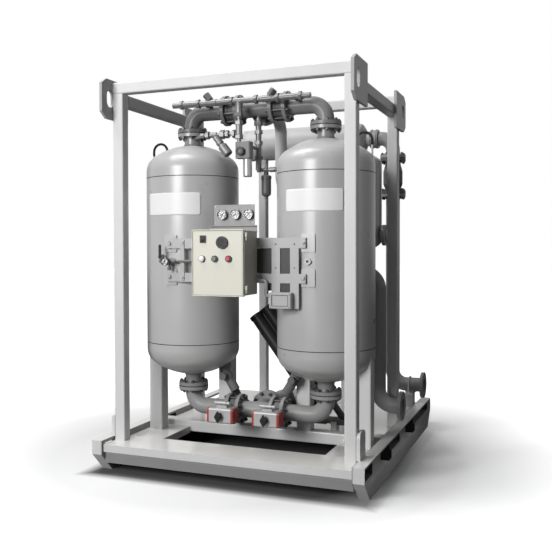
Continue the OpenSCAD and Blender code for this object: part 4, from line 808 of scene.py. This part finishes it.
WELD = (weld_tree, weld_ids)
beads = [(grown(WELD, {"Radius": 0.0585, "Count": 76, "Bead": 0.0055}, "tower_paint"),
          Matrix.Translation((tower_x, TOWER_Y, z))) for tower_x in (-TOWER_X, TOWER_X) for z in (2.236, 0.593)]
gather("neck_welds", beads, ROOT, smooth=True)
print(len(beads), "weld beads")

# %% [markdown]
# The sounder on the door is a dark plastic cup whose front has rings of slots. The tree sets small
# bars on three circles, a fraction of a millimetre proud of the cup, in a darker finish that is painted
# shade for the insides of the slots.

# %% Sounder slots
slot_tree, slot_ids, s_in, s_out = node_tree("slot_ring", [
    ("Count", "Int", 12), ("Radius", "Float", 0.02), ("Length", "Float", 0.006), ("Width", "Float", 0.0022),
    ("Material", "Material", None)])
ring_of = add(slot_tree, "GeometryNodeMeshCircle")
slot_bar = add(slot_tree, "GeometryNodeMeshCube")
around = add(slot_tree, "GeometryNodeInstanceOnPoints")
where = add(slot_tree, "GeometryNodeInputPosition")
outward = add(slot_tree, "FunctionNodeAlignRotationToVector", axis="Y")
slot_size = triple(slot_tree, s_in.outputs["Width"], s_in.outputs["Length"], 0.0006)
slot_tree.links.new(slot_size, slot_bar.inputs["Size"])
wire(slot_tree, (s_in, "Count", ring_of, "Vertices"), (s_in, "Radius", ring_of, "Radius"),
     (ring_of, "Mesh", around, "Points"), (slot_bar, "Mesh", around, "Instance"),
     (where, 0, outward, "Vector"), (outward, 0, around, "Rotation"))
end_tree(slot_tree, around, s_in, s_out)
SLOTS = (slot_tree, slot_ids)
horn_face = Matrix.Translation((0.008, -1.0962, 1.533)) @ FACE_FRONT
gather("sounder_slots", [
    (grown(SLOTS, {"Count": n, "Radius": r, "Length": 0.0065}, "gasket_rubber"), horn_face.copy())
    for n, r in ((8, 0.010), (14, 0.0195), (20, 0.029))], "door")
print("sounder slots on the door")

# %% [markdown]
# The shell of each tower is welded to its heads, and the seam shows as a dark line all round. CAD has
# the groove. A flat dark ring is turned in it here, because a groove two millimetres deep would hardly
# catch a shadow at this distance.

# %% Turned rings
def lathe(name, profile, place, mat, steps):
    verts, faces = [], []
    for i in range(steps):
        a = 2 * math.pi * i / steps
        verts += [place @ Vector((r * math.cos(a), r * math.sin(a), z)) for r, z in profile]
        faces += strip(len(profile), i, (i + 1) % steps)
    piece(name, verts, faces, mat, ROOT)


def at(x, y, z, turned=0.0):
    return Matrix.Translation((x, y, z)) @ Matrix.Rotation(math.radians(turned), 4, "Y")


seam = [(0.3283, -0.0023), (0.3297, -0.0023), (0.3297, 0.0023), (0.3283, 0.0023)]
for side, sign in SIDES:
    for level, z in (("low", 0.835), ("high", 1.994)):
        lathe(f"{side}_{level}_seam", seam, at(sign * TOWER_X, TOWER_Y, z), "gasket_rubber", 128)
print("four seam lines")

# %% [markdown]
# The regulator's bowl is bright metal and its knob a dark plastic cap; both are turned over the CAD
# shapes. A small dark filter bowl hangs under the right branch.

# %% Regulator and filter bowl
REG_X, REG_Z = -0.004, 2.161
bowl = [(0.0282, -0.064), (0.0300, -0.064), (0.0300, -0.172), (0.0288, -0.1802), (0.0282, -0.1802)]
lathe("regulator_bowl", bowl, at(REG_X, PURGE_Y, REG_Z), "bowl_metal", 48)
cap = [(0.0275, -0.030), (0.0295, -0.030), (0.0295, 0.000), (0.0265, 0.004), (0.0120, 0.0055),
       (0.0120, 0.0005), (0.0275, 0.0005)]
lathe("regulator_knob", cap, at(REG_X - 0.035, -0.698, REG_Z - 0.010) @ FACE_FRONT, "fitting_dark",
      48)
small_bowl = [(0.0100, 0.000), (0.0160, 0.000), (0.0160, -0.018), (0.0300, -0.020), (0.0360, -0.026),
              (0.0360, -0.044), (0.0335, -0.046), (0.0335, -0.142), (0.0300, -0.156), (0.0180, -0.164),
              (0.0125, -0.166), (0.0125, -0.184), (0.0100, -0.184)]
lathe("branch_filter_bowl", small_bowl, at(0.0690, TOWER_Y, 2.0205), "bowl_dark", 48)
print("regulator and filter bowl dressed")

# %% [markdown]
# The pipes of the purge line are thicker in the photograph than their CAD solids. Turned sleeves give
# the line, its drops and the Y valves' knobs that thickness, and the leaning valve of the left branch
# gets its bonnet. Each profile is a list of radius and place along the axis.

# %% Purge line sleeves
sleeve = [(0.0150, 2.2640), (0.0215, 2.2640), (0.0230, 2.2665), (0.0230, 2.3335), (0.0215, 2.3360),
          (0.0150, 2.3360)]
bonnet = [(0.0125, 0.020), (0.0225, 0.020), (0.0225, 0.062), (0.0265, 0.064), (0.0265, 0.082),
          (0.0200, 0.086), (0.0200, 0.098), (0.0300, 0.100), (0.0325, 0.104), (0.0325, 0.168),
          (0.0300, 0.1765), (0.0200, 0.1775), (0.0200, 0.1700), (0.0125, 0.1700)]
line = [(0.0125, -0.5695), (0.0180, -0.5695), (0.0190, -0.5680), (0.0190, -0.5120), (0.0225, -0.5100),
        (0.0225, -0.3840), (0.0205, -0.3820), (0.0205, -0.3000), (0.0235, -0.2980), (0.0235, -0.2320),
        (0.0205, -0.2300), (0.0205, 0.1040), (0.0235, 0.1060), (0.0235, 0.1720), (0.0215, 0.1740),
        (0.0215, 0.3700), (0.0190, 0.3720), (0.0190, 0.4440), (0.0180, 0.4455), (0.0125, 0.4455)]
upper = [(0.0125, 2.4020), (0.0230, 2.4020), (0.0240, 2.4040), (0.0240, 2.4900), (0.0125, 2.4900)]
spool = [(0.0125, 2.0400), (0.0195, 2.0400), (0.0205, 2.0420), (0.0205, 2.3980), (0.0195, 2.4000),
         (0.0125, 2.4000)]
knob = [(0.0040, 0.0240), (0.0215, 0.0240), (0.0230, 0.0260), (0.0255, 0.0740), (0.0240, 0.0780),
        (0.0040, 0.0790)]
for name, profile, place, mat, steps in (
        ("drop_sleeve", sleeve, at(DROP_X, PURGE_Y, 0.0), "purge_metal", 48),
        ("fill_valve_bonnet", bonnet, at(-0.255, PURGE_Y, BRANCH_Z, 141), "union_metal", 32),
        ("purge_line_sleeve", line, at(0.0, PURGE_Y, PURGE_Z, 90), "purge_metal", 40),
        ("drop_sleeve_top", upper, at(DROP_X, PURGE_Y, 0.0), "purge_metal", 40),
        ("spool_drop_sleeve", spool, at(SPOOL_X, TOWER_Y, 0.0), "purge_metal", 40),
        ("left_y_valve_knob", knob, at(-0.265, PURGE_Y, PURGE_Z, -40), "purge_metal", 40),
        ("right_y_valve_knob", knob, at(0.139, PURGE_Y, PURGE_Z, 40), "purge_metal", 40)):
    lathe(name, profile, place, mat, steps)
print("purge line and branches dressed")

# %% [markdown]
# The joint between two flanges shows as a dark line, because the gasket sits back from the rim. A thin
# dark ring stands in each joint. On top of each valve drive lies a pilot valve, turned in one piece.

# %% Flange joints and pilot valves
joint_ring = [(0.1000, -0.0030), (0.1056, -0.0030), (0.1056, 0.0030), (0.1000, 0.0030)]
for side, sign in SIDES:
    for level, z in (("top", 2.3175), ("bottom", 0.5115)):
        lathe(f"{side}_{level}_joint_line", joint_ring, at(sign * TOWER_X, TOWER_Y, z), "gasket_rubber",
              64)
pilot = [(0.0030, -0.056), (0.0095, -0.056), (0.0105, -0.054), (0.0105, -0.030), (0.0135, -0.029),
         (0.0135, -0.006), (0.0115, -0.005), (0.0115, 0.005), (0.0135, 0.006), (0.0135, 0.029),
         (0.0105, 0.030), (0.0105, 0.054), (0.0095, 0.056), (0.0030, 0.056)]
for side, sign in SIDES:
    lathe(side + "_pilot_valve", pilot, at(sign * DRIVE_X, -0.714, 0.4453, 90), "drive_alloy",
          32)
print("four joint lines and two pilot valves")

# %% [markdown]
# Each valve drive has a pointer on its front that turns with the stem and shows the way the disc
# stands. It is a diamond with a raised spine, bevelled to its rim, and it rides on the rotor.

# %% Valve pointers
def pointer(name, x, body):
    y0, y1, z0 = -0.7925, -0.800, DRIVE_Z
    outline = [(0.0, 0.043), (0.010, 0.030), (0.024, 0.004), (0.024, -0.004), (0.010, -0.030), (0.0, -0.043),
               (-0.010, -0.030), (-0.024, -0.004), (-0.024, 0.004), (-0.010, 0.030)]
    back = [(x + px, y0, z0 + pz) for px, pz in outline]
    rim = [(x + px * 0.96, y0 - 0.003, z0 + pz * 0.96) for px, pz in outline]
    front = [(x + px * 0.45, y1, z0 + pz * 0.78) for px, pz in outline]
    n = len(outline)
    faces = [tuple(range(n)), tuple(range(3 * n - 1, 2 * n - 1, -1))] + strip(n, 0, 1) + strip(n, 1, 2)
    piece(name, back + rim + front, faces, "knob_black", body)


for side, sign in SIDES:
    pointer(side + "_valve_pointer", sign * DRIVE_X, side + "_rotor")
print("two valve pointers")

# %% [markdown]
# The door of the control box is a folded tray. Its front has a raised rim with a shallow groove inside
# it. The groove is painted darker than the door, a painted shade line round the door. Both follow one
# rounded rectangle, so one helper sweeps a small profile along that path.

# %% Door rim
def rounded_path(x0, x1, z0, z1, radius, steps=6):
    points = []
    for cx, cz, start in ((x1 - radius, z1 - radius, 0), (x0 + radius, z1 - radius, 90),
                          (x0 + radius, z0 + radius, 180), (x1 - radius, z0 + radius, 270)):
        for i in range(steps + 1):
            a = math.radians(start + 90 * i / steps)
            points.append((cx + radius * math.cos(a), cz + radius * math.sin(a), math.cos(a), math.sin(a)))
    return points


def sweep_front(name, outline, profile, y, mat, body):
    verts, faces = [], []
    for i, (px, pz, nx, nz) in enumerate(outline):
        verts += [(px + nx * u, y - v, pz + nz * u) for u, v in profile]
        faces += strip(len(profile), i, (i + 1) % len(outline))
    piece(name, verts, faces, mat, body)


DOOR_Y = -1.078
bead = [(-0.0050, 0.0002), (0.0, 0.0002), (0.0, 0.0016), (-0.0012, 0.0028), (-0.0038, 0.0028),
        (-0.0050, 0.0016)]
groove = [(-0.0090, 0.0002), (-0.0050, 0.0002), (-0.0050, 0.0006), (-0.0090, 0.0006)]
door_path = rounded_path(-0.2055, 0.1495, 1.1955, 1.6145, 0.010)
sweep_front("door_rim", door_path, bead, DOOR_Y, "door_cream", "door")
sweep_front("door_groove_shade", door_path, groove, DOOR_Y, "rim_shade", "door")
print("door rim and groove")

# %% [markdown]
# Each gauge has a dark line between bezel and dial, and the junction box has a cover with a fine raised
# edge. Both are small turned or swept profiles in front of their CAD nodes.

# %% Gauge lines and cover edge
for i, (gx, gy, gz, gr) in enumerate(gauges):
    ring_line = [(gr - 0.0012, 0.0006), (gr + 0.0004, 0.0006), (gr + 0.0004, 0.0016), (gr - 0.0012, 0.0016)]
    lathe(f"dial_line_{i + 1}", ring_line, at(gx, gy, gz) @ FACE_FRONT, "needle_black", 64)
cover_path = rounded_path(0.262, 0.372, 1.128, 1.199, 0.005)
edge = [(-0.0020, 0.0002), (0.0012, 0.0002), (0.0012, 0.0012), (-0.0020, 0.0012)]
sweep_front("junction_cover_edge", cover_path, edge, -0.885, "fitting_dark", ROOT)
print("gauge lines and cover edge")

# %% [markdown]
# A black sleeve covers the bent bar of each lifting eye, so that slings do not chafe. It is a tube swept
# round half a circle and down both legs.

# %% Eye sleeves
def eye_sleeve(name, x):
    ring_r, tube_r, z = 0.055, 0.0088, 2.205
    spine = [(x - ring_r, z - 0.030), (x - ring_r, z - 0.010)]
    spine += [(x - ring_r * math.cos(math.pi * i / 20), z + ring_r * math.sin(math.pi * i / 20))
              for i in range(21)]
    spine += [(x + ring_r, z - 0.010), (x + ring_r, z - 0.030)]
    verts, faces = [], []
    sides = 12
    for i, (px, pz) in enumerate(spine):
        a, b = spine[max(i - 1, 0)], spine[min(i + 1, len(spine) - 1)]
        along = Vector((b[0] - a[0], b[1] - a[1])).normalized()
        for k in range(sides):
            t = 2 * math.pi * k / sides
            out = tube_r * math.cos(t)
            verts.append((px - along.y * out, TOWER_Y + tube_r * math.sin(t), pz + along.x * out))
    for i in range(len(spine) - 1):
        faces += strip(sides, i, i + 1)
    faces += [tuple(range(sides)), tuple((len(spine) - 1) * sides + k for k in reversed(range(sides)))]
    piece(name, verts, faces, "gasket_rubber", ROOT, smooth=True)


EYE_X = 0.762
for side, sign in SIDES:
    eye_sleeve(side + "_eye_sleeve", sign * EYE_X)
print("two eye sleeves")

# %% [markdown]
# A mounting plate closes the gap between the two bars behind the control box; its near black is a painted
# shadow of the box. A dark plate stands behind the right bracket as painted shade, where there is only
# the shade between bracket and tower. Each is a rounded outline, extruded, with its front edge bevelled.

# %% Plates
PLATE_BEVEL = 0.001


def plate(name, outline, y0, y1):
    rings = [(0.0, y0), (0.0, y1 + PLATE_BEVEL), (PLATE_BEVEL, y1)]
    n = len(outline)
    verts = [(px - nx * inset, y, pz - nz * inset) for inset, y in rings for px, pz, nx, nz in outline]
    faces = strip(n, 0, 1) + strip(n, 1, 2) + [tuple(range(n)), tuple(range(3 * n - 1, 2 * n - 1, -1))]
    piece(name, verts, faces, "plate_painted_shade", ROOT)


# Both plates are painted shade: a near black that stands for shadow.
for name, outline, y0, y1 in (
        ("mounting_plate", rounded_path(-0.060, 0.2435, 1.3335, 1.4965, 0.004), -0.8285, -0.8335),
        ("bracket_back_plate", rounded_path(0.215, 0.400, 1.222, 1.5515, 0.006), -0.8245, -0.8275)):
    plate(name, outline, y0, y1)
print("mounting plate and back plate")

# %% [markdown]
# The windows in the side rails are lined with thin dark sheet, painted shade that stands for the dark
# inside of the rails; it leaves the way open. A lining is its window's outline, offset inwards by the
# sheet's thickness and drawn out from the web to the edge of the channel.

# %% Window linings
def round_corners(points, radius, steps=4):
    result = []
    n = len(points)
    for i in range(n):
        (ax, ay), (bx, by), (cx, cy) = points[i - 1], points[i], points[(i + 1) % n]
        into = Vector((bx - ax, by - ay)).normalized()
        out_of = Vector((cx - bx, cy - by)).normalized()
        if into.x * out_of.y - into.y * out_of.x < 0:
            result.append((bx, by))
            continue
        for k in range(steps + 1):
            t = math.radians(90 * k / steps)
            corner = Vector((bx, by)) - radius * into + radius * out_of
            result.append(tuple(corner + radius * (into * math.sin(t) - out_of * math.cos(t))))
    return result


def window_lines(g):
    lines = [[(-1.095 + g, 0.128 + g), (-0.905 - g, 0.128 + g), (-0.905 - g, 0.200 - g),
              (-1.095 + g, 0.200 - g)]]
    for y0, y1 in ((-0.440, -0.095), (0.390, 1.015)):
        lines.append([(y0 + g, 0.085 + g), (y0 + 0.080 - g, 0.085 + g), (y0 + 0.080 - g, 0.140 + g),
                      (y1 - g, 0.140 + g), (y1 - g, 0.205 - g), (y0 + g, 0.205 - g)])
    return [round_corners(line, 0.0090 - g) for line in lines]


WEB_X, EDGE_X = 0.8555, 0.9215
# The linings are painted shade for the dark inside of the rails.
for side, sign in SIDES:
    verts, faces = [], []
    for outer, inner in zip(window_lines(0.0006), window_lines(0.0018)):
        n, base = len(outer), len(verts)
        for ring, x in ((outer, WEB_X), (outer, EDGE_X), (inner, EDGE_X), (inner, WEB_X)):
            verts += [(sign * x, y, z) for y, z in ring]
        for r in range(4):
            faces += [tuple(base + v for v in quad) for quad in strip(n, r, (r + 1) % 4)]
    piece(side + "_window_shade_linings", verts, faces, "window_painted_shade", ROOT)
print("window linings in both rails")
